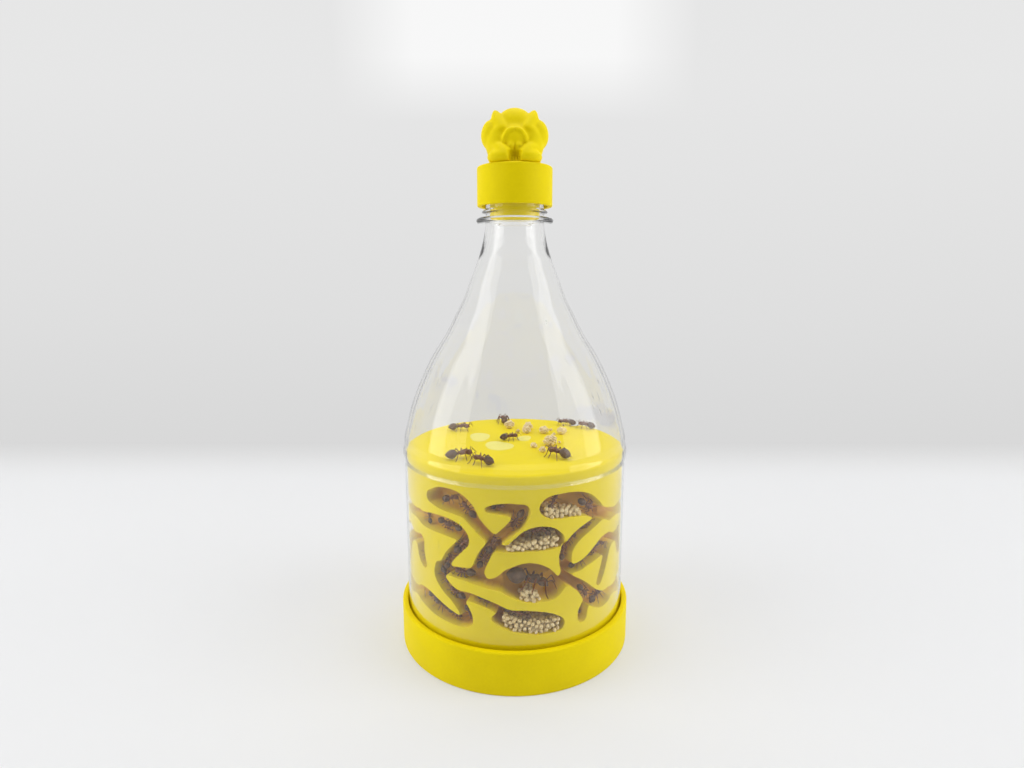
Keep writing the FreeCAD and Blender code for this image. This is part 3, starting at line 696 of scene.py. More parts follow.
@dataclass
class Printed:
    """Plain printed pieces: the base cup with its spigot ring, and the screw cap.

    An outline's corners are radius, height and fillet. The cap's thread is half a pitch from the bottle's.
    """

    cup: Sequence = ((0.05, 0, 0.01), (52.4, 0, 0.9), (52.4, 18.9, 1.0), (49.9, 18.9, 0.7), (49.9, 3, 0.3),
                     (35.6, 3, 0.2), (35.6, 9, 0.5), (33, 9, 0.5), (33, 3, 0.2), (0.05, 3, 0.01))
    cup_steps: int = 256
    cap: Sequence = ((0.05, 210, 0.01), (16.02, 210, 0.9), (16.02, 193.9, 0.5), (14.02, 193.9, 0.4),
                     (14.02, 208.8, 0.3), (0.05, 208.8, 0.01))
    cap_steps: int = 160
    thread: Sequence = ((12.77, -0.3), (14.3, -0.7), (14.3, 0.7), (12.77, 0.3))

    def build(self, finishes: Finishes) -> None:
        """Make both pieces and settle them.

        Args:
            finishes: the habitat's finishes.
        """
        cup = lathe(rounded(self.cup), self.cup_steps)
        settle(put("base_cup_shell", cup, [finishes.yellow]), "base", "base_cup")
        ridge = thread_ridge(self.thread, THREAD_LOW + THREAD_PITCH / 2, 2.0, 130)
        cap = joined([lathe(rounded(self.cap), self.cap_steps), ridge])
        settle(put("screw_cap_shell", cap, [finishes.yellow]), "cap", "screw_cap")


# ---------------------------------------------------------------- ant's head on the cap

@dataclass
class Head:
    """Ant's head: lobes and ridges blended into one skin, with teeth between the jaws."""

    centre: tuple[float, float, float] = (0.0, -1.0, 220.0)
    cap_top: float = 210.0
    blend: float = 0.42
    lobes: Sequence = (((0, 0, 214.5), (11.2, 10.6, 10.5), 0), ((0, 0.4, 221.0), (11.6, 10.2, 9.4), 0),
                       ((0, -0.6, 226.6), (7.9, 7.4, 6.9), 0), ((0, -7.4, 219.6), (6.0, 4.4, 5.6), 0),
                       ((10.2, -2.4, 222.7), (3.8, 5.4, 5.7), 8), ((6.6, -3.8, 218.6), (5.4, 6.6, 7.6), 0),
                       ((4.6, -9.2, 212.4), (6.6, 6.2, 3.3), 0), ((1.5, -10.6, 216.6), (1.5, 1.8, 1.6), 0))
    ridges: Sequence = (((8.1, -3.4, 231.4, 0.25), (7.7, -3.6, 229.9, 1.2), (7.1, -4.4, 228.0, 2.1),
                         (6.2, -6.0, 226.0, 2.0), (5.2, -7.8, 224.2, 1.5)),
                        ((5.0, -8.2, 224.2, 1.3), (7.4, -7.8, 222.6, 1.0), (8.9, -7.0, 219.6, 0.9),
                         (9.5, -6.0, 216.0, 0.8)),
                        ((0.0, -10.95, 223.2, 0.4), (2.4, -10.85, 222.5, 0.4), (4.0, -10.6, 220.4, 0.4),
                         (4.5, -10.6, 218.4, 0.3)),
                        ((8.6, -7.4, 216.6, 1.3), (6.6, -10.0, 216.1, 1.7), (4.6, -12.4, 214.4, 1.6),
                         (3.2, -13.6, 211.9, 1.0)))
    cavity: tuple = ((0.0, -14.4, 212.9), (2.9, 3.8, 3.2))
    tooth: Sequence = ((1.0, -12.8, 209.8), (1.0, -13.2, 211.0), (0.95, -13.3, 212.2))
    tooth_count: int = 4
    tooth_pitch: float = 1.15
    reach: tuple[float, float] = (3.0, 19.0)
    reach_steps: int = 64
    halvings: int = 6
    columns: int = 260
    rows: int = 168

    def distance(self, points: np.ndarray) -> np.ndarray:
        """Blended distance, below nought inside: a soft least of the lobes' and ridges' distances.

        Args:
            points: where it is wanted.

        Returns:
            The distance at each point.
        """
        mirrored = np.concatenate([np.abs(points[..., :1]), points[..., 1:]], -1)
        values = [self.ball_distance(mirrored, *lobe) for lobe in self.lobes]
        for ridge in self.ridges:
            line = smooth_through(ridge, 3)
            values += [self.capsule_distance(mirrored, a, b) for a, b in zip(line[:-1], line[1:])]
        total = -self.blend * np.log(np.sum([np.exp(-np.clip(v, -8, 20) / self.blend) for v in values], axis=0))
        return np.maximum(total, -self.ball_distance(mirrored, *self.cavity))

    @staticmethod
    def ball_distance(points: np.ndarray, centre: Sequence, radii: Sequence, lean: float = 0.0) -> np.ndarray:
        """Distance to an ellipsoid: how far the scaled point lies from the unit ball, times its local radius.

        Args:
            points: where it is wanted.
            centre: the ellipsoid's middle.
            radii: its half lengths.
            lean: degrees that its top leans inwards.

        Returns:
            The distance at each point.
        """
        angle = math.radians(lean)
        tilt = np.array([[math.cos(angle), 0, -math.sin(angle)], [0, 1, 0], [math.sin(angle), 0, math.cos(angle)]])
        away = (points - np.asarray(centre, float)) @ tilt
        scaled = np.linalg.norm(away / np.asarray(radii, float), axis=-1)
        slope = np.linalg.norm(away / np.asarray(radii, float) ** 2, axis=-1)
        return scaled * (scaled - 1) / np.maximum(slope, 1e-6)

    @staticmethod
    def capsule_distance(points: np.ndarray, start: np.ndarray, end: np.ndarray) -> np.ndarray:
        """Distance to a line between two points, less the radius there.

        Args:
            points: where it is wanted.
            start: the line's start, with the radius there.
            end: the line's end, with the radius there.

        Returns:
            The distance at each point.
        """
        way = end[:3] - start[:3]
        share = np.clip(((points - start[:3]) @ way) / (way @ way), 0, 1)
        nearest = start[:3] + share[..., None] * way
        return np.linalg.norm(points - nearest, axis=-1) - (start[3] + share * (end[3] - start[3]))

    def skin(self) -> Surface:
        """Skin where the distance is nought.

        A ray from the centre goes out by polar angle and turn. It is cut at its last inner step, and the cut is
        then halved in on.

        Returns:
            The closed skin, a little sunk into the cap's top.
        """
        polar = np.linspace(0.0, math.pi, self.rows + 2)[1:-1]
        turn = np.arange(self.columns) * FULL / self.columns
        rays = np.stack([np.sin(polar)[:, None] * np.sin(turn), -np.sin(polar)[:, None] * np.cos(turn),
                         np.cos(polar)[:, None] + 0 * turn], -1)
        near, far = self.reach
        low = np.full(rays.shape[:2], near)
        for reach in np.linspace(near, far, self.reach_steps + 1):
            low = np.where(self.distance(np.asarray(self.centre) + rays * reach) < 0, reach, low)
        high = low + (far - near) / self.reach_steps
        for _ in range(self.halvings):
            middle = (low + high) / 2
            inside = self.distance(np.asarray(self.centre) + rays * middle[..., None]) < 0
            low, high = np.where(inside, middle, low), np.where(inside, high, middle)
        rings = np.asarray(self.centre) + rays * low[..., None]
        rings[..., 2] = np.maximum(rings[..., 2], self.cap_top - 0.3)
        return loft(rings)

    def teeth(self) -> list[Surface]:
        """Small pointed teeth along the foot of the cavity.

        Returns:
            The teeth, each a tapered tube.
        """
        middle = (self.tooth_count - 1) / 2
        paths = [smooth_through(np.array(self.tooth) * [(i - middle) * self.tooth_pitch, 1, 1], 3)
                 for i in range(self.tooth_count)]
        return [tube(path, np.linspace(0.62, 0.08, len(path)), 8) for path in paths]

    def build(self, finishes: Finishes) -> None:
        """Make the head and settle it.

        Args:
            finishes: the habitat's finishes.
        """
        piece = put("ant_head_skin", joined([self.skin()] + self.teeth()), [finishes.yellow], 70.0)
        settle(piece, "cap", "ant_head")


# ---------------------------------------------------------------- nest

GALLERIES = {
    "upper_left": [(-44, 77.3, 2.8), (-37, 77.8, 4.7), (-29, 77.4, 4.9), (-23, 75.2, 3.7),
                   (-19, 71.2, 2.7), (-15, 67.6, 2.4), (-11, 64.6, 2.3)],
    "upper_mid": [(-12.5, 76.3, 1.2), (-8, 76.7, 2.1), (-2, 76.5, 2.8), (3, 75.3, 3.2)],
    "upper_fall": [(3.4, 75.5, 3.0), (1.8, 71.8, 3.0), (-1.5, 69, 2.6), (-5.5, 65.8, 2.4), (-9.5, 63, 2.3),
                   (-12.3, 59.8, 2.3), (-15, 56, 2.6), (-18, 50, 2.6)],
    "left_upper": [(-54, 66.8, 2.4), (-50, 66.2, 3.2), (-42, 66.6, 3.8), (-34, 66.5, 3.9),
                   (-27.5, 65.3, 3.4), (-24.5, 62.2, 2.5), (-28, 58.5, 2.3), (-31.8, 55, 2.3),
                   (-34.5, 51.5, 2.3), (-36.5, 47.5, 2.3)],
    "left_passage": [(-38, 48.5, 2.0), (-30, 48.2, 2.4), (-24, 48.3, 2.8), (-17, 48.2, 2.8)],
    "left_diagonal": [(-39, 48, 2.4), (-39.2, 44.6, 2.8), (-35, 40.8, 3), (-29.8, 37.8, 3),
                      (-26, 34.3, 2.8), (-23.3, 30.8, 2.5), (-22.3, 28.4, 1.9)],
    "pillar_top": [(-30, 38.6, 2.0), (-22, 38.9, 1.9), (-15, 37.6, 1.8), (-8.5, 35.6, 1.9),
                   (-2, 32.5, 2.2)],
    "left_edge": [(-54, 55.5, 3.0), (-54, 52, 3.0), (-52.5, 48.5, 2.6), (-50.5, 46.3, 1.8)],
    "right_down": [(45, 67.8, 1.8), (38, 66, 2.2), (31.5, 63.6, 2.4), (27.3, 60.6, 2.5),
                   (24.6, 57.3, 2.9), (24.4, 53.6, 2.8), (24.8, 50.3, 2.4), (24.2, 46, 2.3)],
    "right_branch": [(52, 52, 2.4), (49.5, 46.5, 2.2), (47, 42, 2.0), (45.5, 39.8, 1.6)],
    "right_pocket": [(37, 34, 1.8), (35, 30.5, 2.6), (34.5, 27.6, 2.5)],
    "queen_passage": [(-20, 47.5, 2.3), (-12, 45.8, 2.2), (-5, 46.3, 3.6), (2, 46.6, 5)],
    "link_high": [(54, 67.0, 2.3), (60, 67.0, 2.3), (66, 67.0, 2.3)],
    "link_middle": [(54, 55.5, 2.3), (60, 55.5, 2.3), (66, 55.5, 2.3)],
    "link_low": [(54, 31.5, 2.3), (60, 31.5, 2.3), (66, 31.5, 2.3)],
}
CHAMBERS = {
    "queen_chamber": [(0, 46.8, 6.4), (6.5, 46.6, 8.3), (12, 45.3, 7.3), (17, 43.2, 4.9), (22, 45.2, 3.2)],
    "brood_chamber": [(-10, 60.6, 1.2), (-3, 60.9, 1.6), (2.5, 62.6, 3.2), (8.5, 64.3, 4.9),
                      (15, 64.3, 4.9), (20, 63.2, 3.3)],
    "upper_chamber": [(15.5, 76.8, 3.6), (18, 76.9, 4.8), (24, 76.9, 5.2), (30, 76.6, 5.1),
                      (36, 75.3, 4.6), (41.5, 72.6, 3.6), (47, 69.6, 2.7), (54.5, 67.4, 2.4)],
    "right_chamber": [(25, 50, 2.0), (31, 50, 2.0), (37, 51.5, 2.2), (43, 53.5, 3.2), (48.5, 55.2, 4.0),
                      (52.8, 55.5, 4.0)],
    "low_chamber": [(24, 46.3, 2.2), (29, 44, 2.2), (33.5, 41.2, 2.4), (38, 37, 3.2), (42.5, 33.5, 3.5),
                    (48, 31.2, 3.6), (53.5, 31, 3.4)],
    "grain_chamber": [(-9, 31, 1.8), (-4.5, 30.9, 3.6), (1, 30.3, 4.8), (8, 29.5, 5.1), (15, 28.6, 4.6),
                      (20.5, 27.5, 3.3)],
    "left_chamber": [(-53, 31.8, 3.9), (-48, 31.4, 4.3), (-42, 30.0, 4.1), (-35, 28.6, 3.3),
                     (-28.5, 27.6, 2.6), (-24, 27.6, 2.2)],
}
STROKES = {**GALLERIES, **CHAMBERS}


@dataclass
class NestDrum:
    """Nest drum: galleries scooped in its wall, a level deck, a hollow core and an entry shaft.

    The wall's grid is carved between two heights, with plain rows below and above, each a height and a chamfer.
    The entry is its azimuth, its radius, its foot's height and how far its middle lies behind the wall.
    """

    radius: float = 48.5
    core: float = 36.0
    low: float = 3.0
    deck: float = 90.0
    deck_thick: float = 4.0
    gallery_depth: float = 6.8
    chamber_depth: float = 9.2
    edge: float = 1.5
    soften: float = 1.6
    bulge: float = 3.6
    far: float = 50.0
    margin: float = 12.0
    snap: float = 0.55
    least_slope: float = 0.2
    columns: int = 208
    rows: int = 134
    carved: tuple[float, float] = (21.5, 84.5)
    below: Sequence = ((3.0, 0.4), (3.4, 0.0), (10.0, 0.0), (17.0, 0.0))
    above: Sequence = ((87.0, 0.0), (89.4, 0.0), (90.0, 0.6))
    deck_shares: Sequence = (0.96, 0.7, 0.35, 0.05)
    entry: tuple[float, float, float, float] = (139.0, 3.4, 77.0, 1.6)

    def across(self, azimuth: float) -> float:
        """Distance round the wall from the front to an azimuth."""
        return math.radians(azimuth) * self.radius

    def carving(self, x: np.ndarray, z: np.ndarray) -> tuple[np.ndarray, np.ndarray]:
        """Outline and depth of the carving at places on one sector's wall.

        Each stroke is a chain of round-ended cones. Its depth follows a rounded half pipe: the depth times the
        root of one less the share of the half width. The outline is a soft least of the strokes' distances.

        Args:
            x: distances round the wall.
            z: heights.

        Returns:
            Distance to the outline, below nought inside, and the depth.
        """
        outline = np.full(x.shape, self.far)
        depth = np.zeros(x.shape)
        place = np.stack([x, z], -1)
        for name, stations in STROKES.items():
            deep = self.chamber_depth if name in CHAMBERS else self.gallery_depth
            line = smooth_through([(self.across(a), height, width) for a, height, width in stations], 5)
            near, share = np.full(x.shape, self.far), np.full(x.shape, self.far)
            for a, b in zip(line[:-1], line[1:]):
                for turn in (0.0, -self.across(SECTOR_ANGLE), self.across(SECTOR_ANGLE)):
                    if abs(a[0] + turn) > self.across(SECTOR_ANGLE / 2) + self.margin:
                        continue
                    start, way = a[:2] + [turn, 0.0], b[:2] - a[:2]
                    t = np.clip(((place - start) @ way) / (way @ way), 0, 1)
                    wide = a[2] + t * (b[2] - a[2])
                    away = np.linalg.norm(place - start - t[..., None] * way, axis=-1)
                    closer = away - wide < near
                    share = np.where(closer, away / wide, share)
                    near = np.minimum(near, away - wide)
            depth = np.maximum(depth, deep * np.maximum(1 - np.minimum(share, 1) ** self.bulge, 0)
                               ** (1 / self.bulge))
            close = np.maximum(self.soften - np.abs(outline - near), 0) / self.soften
            outline = np.minimum(outline, near) - close ** 2 * self.soften / 4
        inside = np.clip(-outline / self.edge, 0, 1)
        rounded_edge = self.edge * np.sqrt(1 - (1 - inside) ** 2)
        return outline, np.maximum(depth * (outline < 0), rounded_edge)

    def wall(self) -> tuple[np.ndarray, np.ndarray, np.ndarray]:
        """Grid of the whole wall, with points near an outline moved onto it.

        Returns:
            Distance round, height and depth of each point, by row and column.
        """
        arc = self.across(SECTOR_ANGLE)
        step = arc / self.columns
        x_line = (np.arange(self.columns) + 0.5) * step - arc / 2
        z_line = np.linspace(*self.carved, self.rows)
        x, z = np.meshgrid(x_line, z_line)
        outline, depth = self.carving(x, z)
        padded = np.concatenate([outline[:, -1:], outline, outline[:, :1]], 1)
        slope_x = (padded[:, 2:] - padded[:, :-2]) / (2 * step)
        slope_z = np.gradient(outline, z_line, axis=0)
        steep = slope_x ** 2 + slope_z ** 2
        near = (np.abs(outline) < self.snap * step) & (steep > self.least_slope)
        near[[0, -1]] = False
        x = x + np.where(near, -outline * slope_x / steep, 0)
        z = z + np.where(near, -outline * slope_z / steep, 0)
        x = np.concatenate([x + i * arc for i in range(SECTORS)], 1)
        return x, np.tile(z, SECTORS), np.tile(np.where(near, 0, depth), SECTORS)

    def with_entry(self, x: np.ndarray, z: np.ndarray, depth: np.ndarray) -> np.ndarray:
        """Depth with the entry shaft cut in: a circle across, from its foot up.

        Args:
            x: distances round the wall.
            z: heights.
            depth: depth of the carving.

        Returns:
            The greater of the two depths.
        """
        azimuth, radius, low, inset = self.entry
        off = np.abs(x - self.across(azimuth))
        shaft = np.where((off < radius) & (z > low), inset + np.sqrt(np.maximum(radius ** 2 - off ** 2, 0)), 0)
        return np.maximum(depth, shaft)

    def build(self, finishes: Finishes) -> None:
        """Make the drum and settle it.

        Args:
            finishes: the habitat's finishes.
        """
        x, z, depth = self.full_wall()
        depth = self.with_entry(x, z, depth)
        rings = self.round_wall(x, z, depth)
        ceiling = self.deck - self.deck_thick
        deck = [rings[-1] * [share, share, 1] for share in self.deck_shares]
        direction = unit(rings[0] * [1, 1, 0])
        inner = [direction * r + [0, 0, h] for r, h in ((0.5, ceiling), (self.core, ceiling), (self.core, self.low))]
        skin = loft(np.concatenate([inner, rings, deck]), [[0, 0, ceiling], [0, 0, self.deck]])
        plain = [np.zeros((len(rows), x.shape[1])) for rows in (inner, deck)]
        skin = self.best_diagonals(skin, np.concatenate([plain[0], depth, plain[1]]))
        settle(put("nest_drum_carved", skin, [finishes.nest], 48.0), "nest", "nest_drum")

    def full_wall(self) -> tuple[np.ndarray, np.ndarray, np.ndarray]:
        """Grid of the whole wall with its plain rows below and above, evenly spaced round.

        Returns:
            Distance round, height and depth of each point, by row and column.
        """
        x, z, depth = self.wall()
        arc, blank = self.across(SECTOR_ANGLE), np.zeros(x.shape[1])
        even = (np.arange(x.shape[1]) + 0.5) * arc / self.columns - arc / 2
        below, above = ([np.stack([even, blank + h, blank + d]) for h, d in rows] for rows in (self.below, self.above))
        rows = np.concatenate([below, np.stack([x, z, depth], 1), above])
        return rows[:, 0], rows[:, 1], rows[:, 2]

    def round_wall(self, x: np.ndarray, z: np.ndarray, depth: np.ndarray) -> np.ndarray:
        """Points of the wall: radius less depth, at the azimuth of the distance round."""
        angle, radius = x / self.radius, self.radius - depth
        return np.stack([radius * np.sin(angle), -radius * np.cos(angle), z], -1)

    @staticmethod
    def best_diagonals(skin: Surface, depth: np.ndarray) -> Surface:
        """Split each quad along the diagonal whose ends differ less in depth, so that edges stay crisp.

        Args:
            skin: the skin of quads.
            depth: depth of the carving at each of its grid's points.

        Returns:
            The skin in triangles.
        """
        level = depth.reshape(-1)
        a, b, c, d = skin.quads.T
        first = np.abs(level[a] - level[c]) <= np.abs(level[b] - level[d])
        one = np.where(first[:, None], np.stack([a, b, c], -1), np.stack([a, b, d], -1))
        two = np.where(first[:, None], np.stack([a, c, d], -1), np.stack([b, c, d], -1))
        return Surface(skin.points, np.zeros((0, 4), int), np.concatenate([one, two, skin.triangles]))


# ---------------------------------------------------------------- colony

class Stance(Enum):
    """How an ant stands in a gallery: on its floor, seen from the side, or on its back wall."""

    FLOOR = "floor"
    BACK = "back"


@dataclass
class AntBody:
    """Ant of unit length along +X, feet at nought: head, mandibles, thorax, waist, gaster, legs, feelers."""

    hips: Sequence[float] = (0.235, 0.165, 0.1)
    reaches: Sequence[float] = (0.17, 0.02, -0.2)

    def surface(self, length: float, seed: int, queen: bool = False) -> Surface:
        """One ant.

        Args:
            length: its length.
            seed: seed of its stance.
            queen: larger thorax and gaster.

        Returns:
            Its surface, finish 0 dark, 1 brown, 2 limbs.
        """
        draw = np.random.default_rng(seed)
        thick = 1.12 if queen else 1.0
        parts = [ball((0.38, 0, 0.21), (0.125, 0.112, 0.1), finish=1),
                 ball((0.13, 0, 0.215), (0.13, 0.078 * thick, 0.085 * thick), finish=1),
                 ball((0.215, 0, 0.24), (0.09, 0.092 * thick, 0.1 * thick), 14, 8, 1),
                 ball((0.0, 0, 0.2), (0.034, 0.04, 0.08), 10, 6, 1),
                 self.gaster(thick)]
        for side in (-1, 1):
            eye = (0.385, side * 0.086, 0.235)
            parts.append(ball(eye, (0.026, 0.016, 0.024), 8, 5, 0))
            jaw = smooth_through([(0.46, side * 0.05, 0.185), (0.505, side * 0.045, 0.17),
                                  (0.53, side * 0.008, 0.165)], 3)
            parts.append(tube(jaw, np.linspace(0.026, 0.007, len(jaw)), 6, 1))
            swing = draw.uniform(-0.04, 0.05)
            feeler = smooth_through([(0.455, side * 0.035, 0.25), (0.51 + swing, side * 0.12, 0.34),
                                     (0.55 + swing, side * 0.15, 0.34), (0.68 + swing, side * (0.13 + swing), 0.2)], 4)
            parts.append(tube(feeler, np.linspace(0.013, 0.009, len(feeler)), 5, 2))
            for hip, reach in zip(self.hips, self.reaches):
                parts.append(self.leg(hip, reach + draw.uniform(-0.05, 0.05), side, draw.uniform(-0.02, 0.02)))
        whole = joined(parts)
        return Surface(whole.points * length, whole.quads, whole.triangles, 0, whole.finishes)

    @staticmethod
    def gaster(thick: float) -> Surface:
        """Gaster: an egg whose radius swells between its segments, with shallow grooves.

        Args:
            thick: its thickness over a worker's.

        Returns:
            Its surface.
        """
        turn = np.arange(18) * FULL / 18
        share = np.linspace(0.0, 1.0, 18)[1:-1]
        swell = np.sin(math.pi * share ** 0.85) ** 0.72 * (1 - 0.05 * np.cos(share * FULL * 4) ** 6)
        x = -0.02 - 0.46 * share
        rings = np.stack([x[:, None] + 0 * turn, 0.16 * thick * swell[:, None] * np.cos(turn),
                          0.21 - 0.03 * share[:, None] + 0.165 * thick * swell[:, None] * np.sin(turn)], -1)
        return loft(rings, [[-0.02, 0, 0.2], [-0.48, 0, 0.17]], finish=0)

    @staticmethod
    def leg(hip: float, reach: float, side: int, lift: float) -> Surface:
        """Leg: thigh up to the knee, shin down, foot outwards, thinner at each joint.

        Args:
            hip: the hip's place along the body.
            reach: how far forward the foot reaches.
            side: -1 or 1.
            lift: how much higher the knee is.

        Returns:
            Its surface.
        """
        path = smooth_through([(hip, side * 0.035, 0.18), (hip + reach * 0.55, side * 0.18, 0.31 + lift),
                               (hip + reach * 0.7, side * 0.21, 0.29 + lift), (hip + reach * 1.1, side * 0.28, 0.08),
                               (hip + reach * 1.45, side * 0.34, 0.004)], 3)
        return tube(path, np.linspace(0.026, 0.01, len(path)), 5, 2)


@dataclass
class Colony:
    """Ants of the deck, of the galleries and of the rear sectors, and the queen."""

    drum: NestDrum
    worker: float = 11.2
    back_depth: float = 4.6
    side_depth: float = 2.7
    footing: float = 0.2
    queen_length: float = 17.6
    queen_spot: tuple[float, float, float] = (5.8, 46.9, -19.0)
    queen_depth: float = 3.3
    queen_drop: float = 3.2
    deck_ants: Sequence = ((-28.0, 22.5, 8, 0.92), (-5.6, 37.5, 98, 0.95), (-3.0, 4.5, 25, 0.82),
                           (-23.4, -25.5, 22, 1.06), (-12.3, -33.5, 140, 0.98), (18.8, -24.0, 132, 1.12),
                           (27.2, 32.9, 155, 0.84), (36.4, 26.4, 140, 0.88))
    groups: dict = field(default_factory=lambda: {
        "upper_ants": [(-34.2, 77.6, 15, 8.6), (-23.0, 74.2, 133, 8.4), (-8.5, 76.9, 8, 5.4), (1.4, 72.4, -125, 8.6),
                       (18.6, 77.4, 62, 7.6), (38.0, 74.6, -34, 9.2)],
        "middle_ants": [(-50.0, 66.0, 100, 5.6), (-38.6, 66.6, -8, 7.8), (-31.4, 66.4, 168, 7.6),
                        (-28.1, 58.4, 47, 9.4), (-36.0, 50.0, 67, 7.2), (-25.2, 48.1, -178, 9.6),
                        (-11.6, 60.6, 61, 8.4), (-16.3, 53.8, 61, 8.4), (-53.8, 50.2, -60, 6.0),
                        (8.2, 66.6, 8, 6.4), (15.0, 66.4, 146, 6.4), (38.6, 66.0, 22, 7.4), (29.3, 62.0, -141, 6.2),
                        (24.6, 55.8, 87, 6.8), (32.2, 50.4, 8, 7.4), (42.6, 53.3, 14, 7.8), (49.5, 54.9, -20, 7.4),
                        (48.5, 44.5, 60, 6.4)],
        "lower_ants": [(-38.2, 44.4, -64, 7.6), (-30.2, 37.6, 158, 8.0), (-23.9, 31.0, -60, 6.2),
                       (-48.6, 31.4, -8, 7.6), (-41.8, 30.4, -14, 8.2), (-33.0, 28.6, -14, 7.6),
                       (-15.9, 37.8, -28, 5.8), (-2.0, 33.4, -12, 6.6), (5.0, 31.6, 157, 6.4),
                       (37.4, 37.4, -50, 7.8), (47.0, 31.9, 20, 8.2), (34.9, 29.2, 120, 5.4)]})
    rear: Sequence = ((-34.2, 77.6, 15, 8.6), (5.0, 46.6, 8, 8.4), (-38.6, 66.6, -8, 7.8), (37.4, 37.4, -50, 7.8),
                      (5.0, 31.0, 157, 7.0))

    def on_wall(self, ant: Surface, azimuth: float, height: float, heading: float, depth: float, stance: Stance,
                drop: float = 0.0) -> Surface:
        """Ant placed in the wall.

        Args:
            ant: the ant at the origin.
            azimuth: where round the wall.
            height: its height.
            heading: direction of its head on the unrolled wall, in degrees.
            depth: how far its feet or its middle lie behind the wall's face.
            stance: on the floor or on the back wall.
            drop: how far its feet are below that height, square to its heading.

        Returns:
            The placed ant.
        """
        a, h = math.radians(azimuth), math.radians(heading)
        out = np.array([math.sin(a), -math.cos(a), 0.0])
        right = np.array([math.cos(a), math.sin(a), 0.0])
        up = np.array([0.0, 0.0, 1.0])
        ahead = math.cos(h) * right + math.sin(h) * up
        if stance is Stance.BACK:
            top = out
        else:
            top = -math.sin(h) * right + math.cos(h) * up
            top = top if top[2] >= 0 else -top
        axes = np.stack([ahead, np.cross(top, ahead), top])
        origin = out * (self.drum.radius - depth) + up * height - top * drop
        return ant.placed(axes, origin)

    def gallery_ant(self, azimuth: float, height: float, heading: float, length: float, seed: int) -> Surface:
        """Worker in a gallery: an odd seed puts its feet on the back wall, and an even one on the floor.

        Args:
            azimuth: where round the wall.
            height: its height.
            heading: direction of its head on the unrolled wall, in degrees.
            length: its length.
            seed: seed of its stance.

        Returns:
            The placed ant.
        """
        ant = AntBody().surface(length, seed)
        if seed % 2:
            return self.on_wall(ant, azimuth, height, heading, self.back_depth, Stance.BACK)
        return self.on_wall(ant, azimuth, height, heading, self.side_depth, Stance.FLOOR, self.footing * length)

    def deck_ant(self, x: float, y: float, heading: float, size: float, seed: int) -> Surface:
        """Worker on the deck."""
        ant = AntBody().surface(self.worker * size, seed)
        return ant.placed(turn_axes(heading), np.array([x, y, self.drum.deck]))

    def queen(self) -> Surface:
        """Queen over her brood, head to the right and down."""
        ant = AntBody().surface(self.queen_length, 7, True)
        return self.on_wall(ant, *self.queen_spot, self.queen_depth, Stance.FLOOR, self.queen_drop)

    def build(self, finishes: Finishes) -> None:
        """Make every group and settle it.

        Args:
            finishes: the habitat's finishes.
        """
        coats = [finishes.shell, finishes.waist, finishes.limb]
        deck = [self.deck_ant(*spot, seed=i) for i, spot in enumerate(self.deck_ants)]
        made = {"deck_ants": deck, "queen_ant": [self.queen()]}
        for number, (node, spots) in enumerate(self.groups.items()):
            made[node] = [self.gallery_ant(*spot, seed=20 * number + 20 + i) for i, spot in enumerate(spots)]
        made["rear_ants"] = [self.gallery_ant(*spot, seed=90 + i).turned(turn * SECTOR_ANGLE)
                             for turn in range(1, SECTORS) for i, spot in enumerate(self.rear)]
        for node, ants in made.items():
            worn = [coats[0], coats[0], coats[2]] if node == "queen_ant" else coats
            settle(put(node + "_live", joined(ants), worn, 60.0, False), "nest", node)


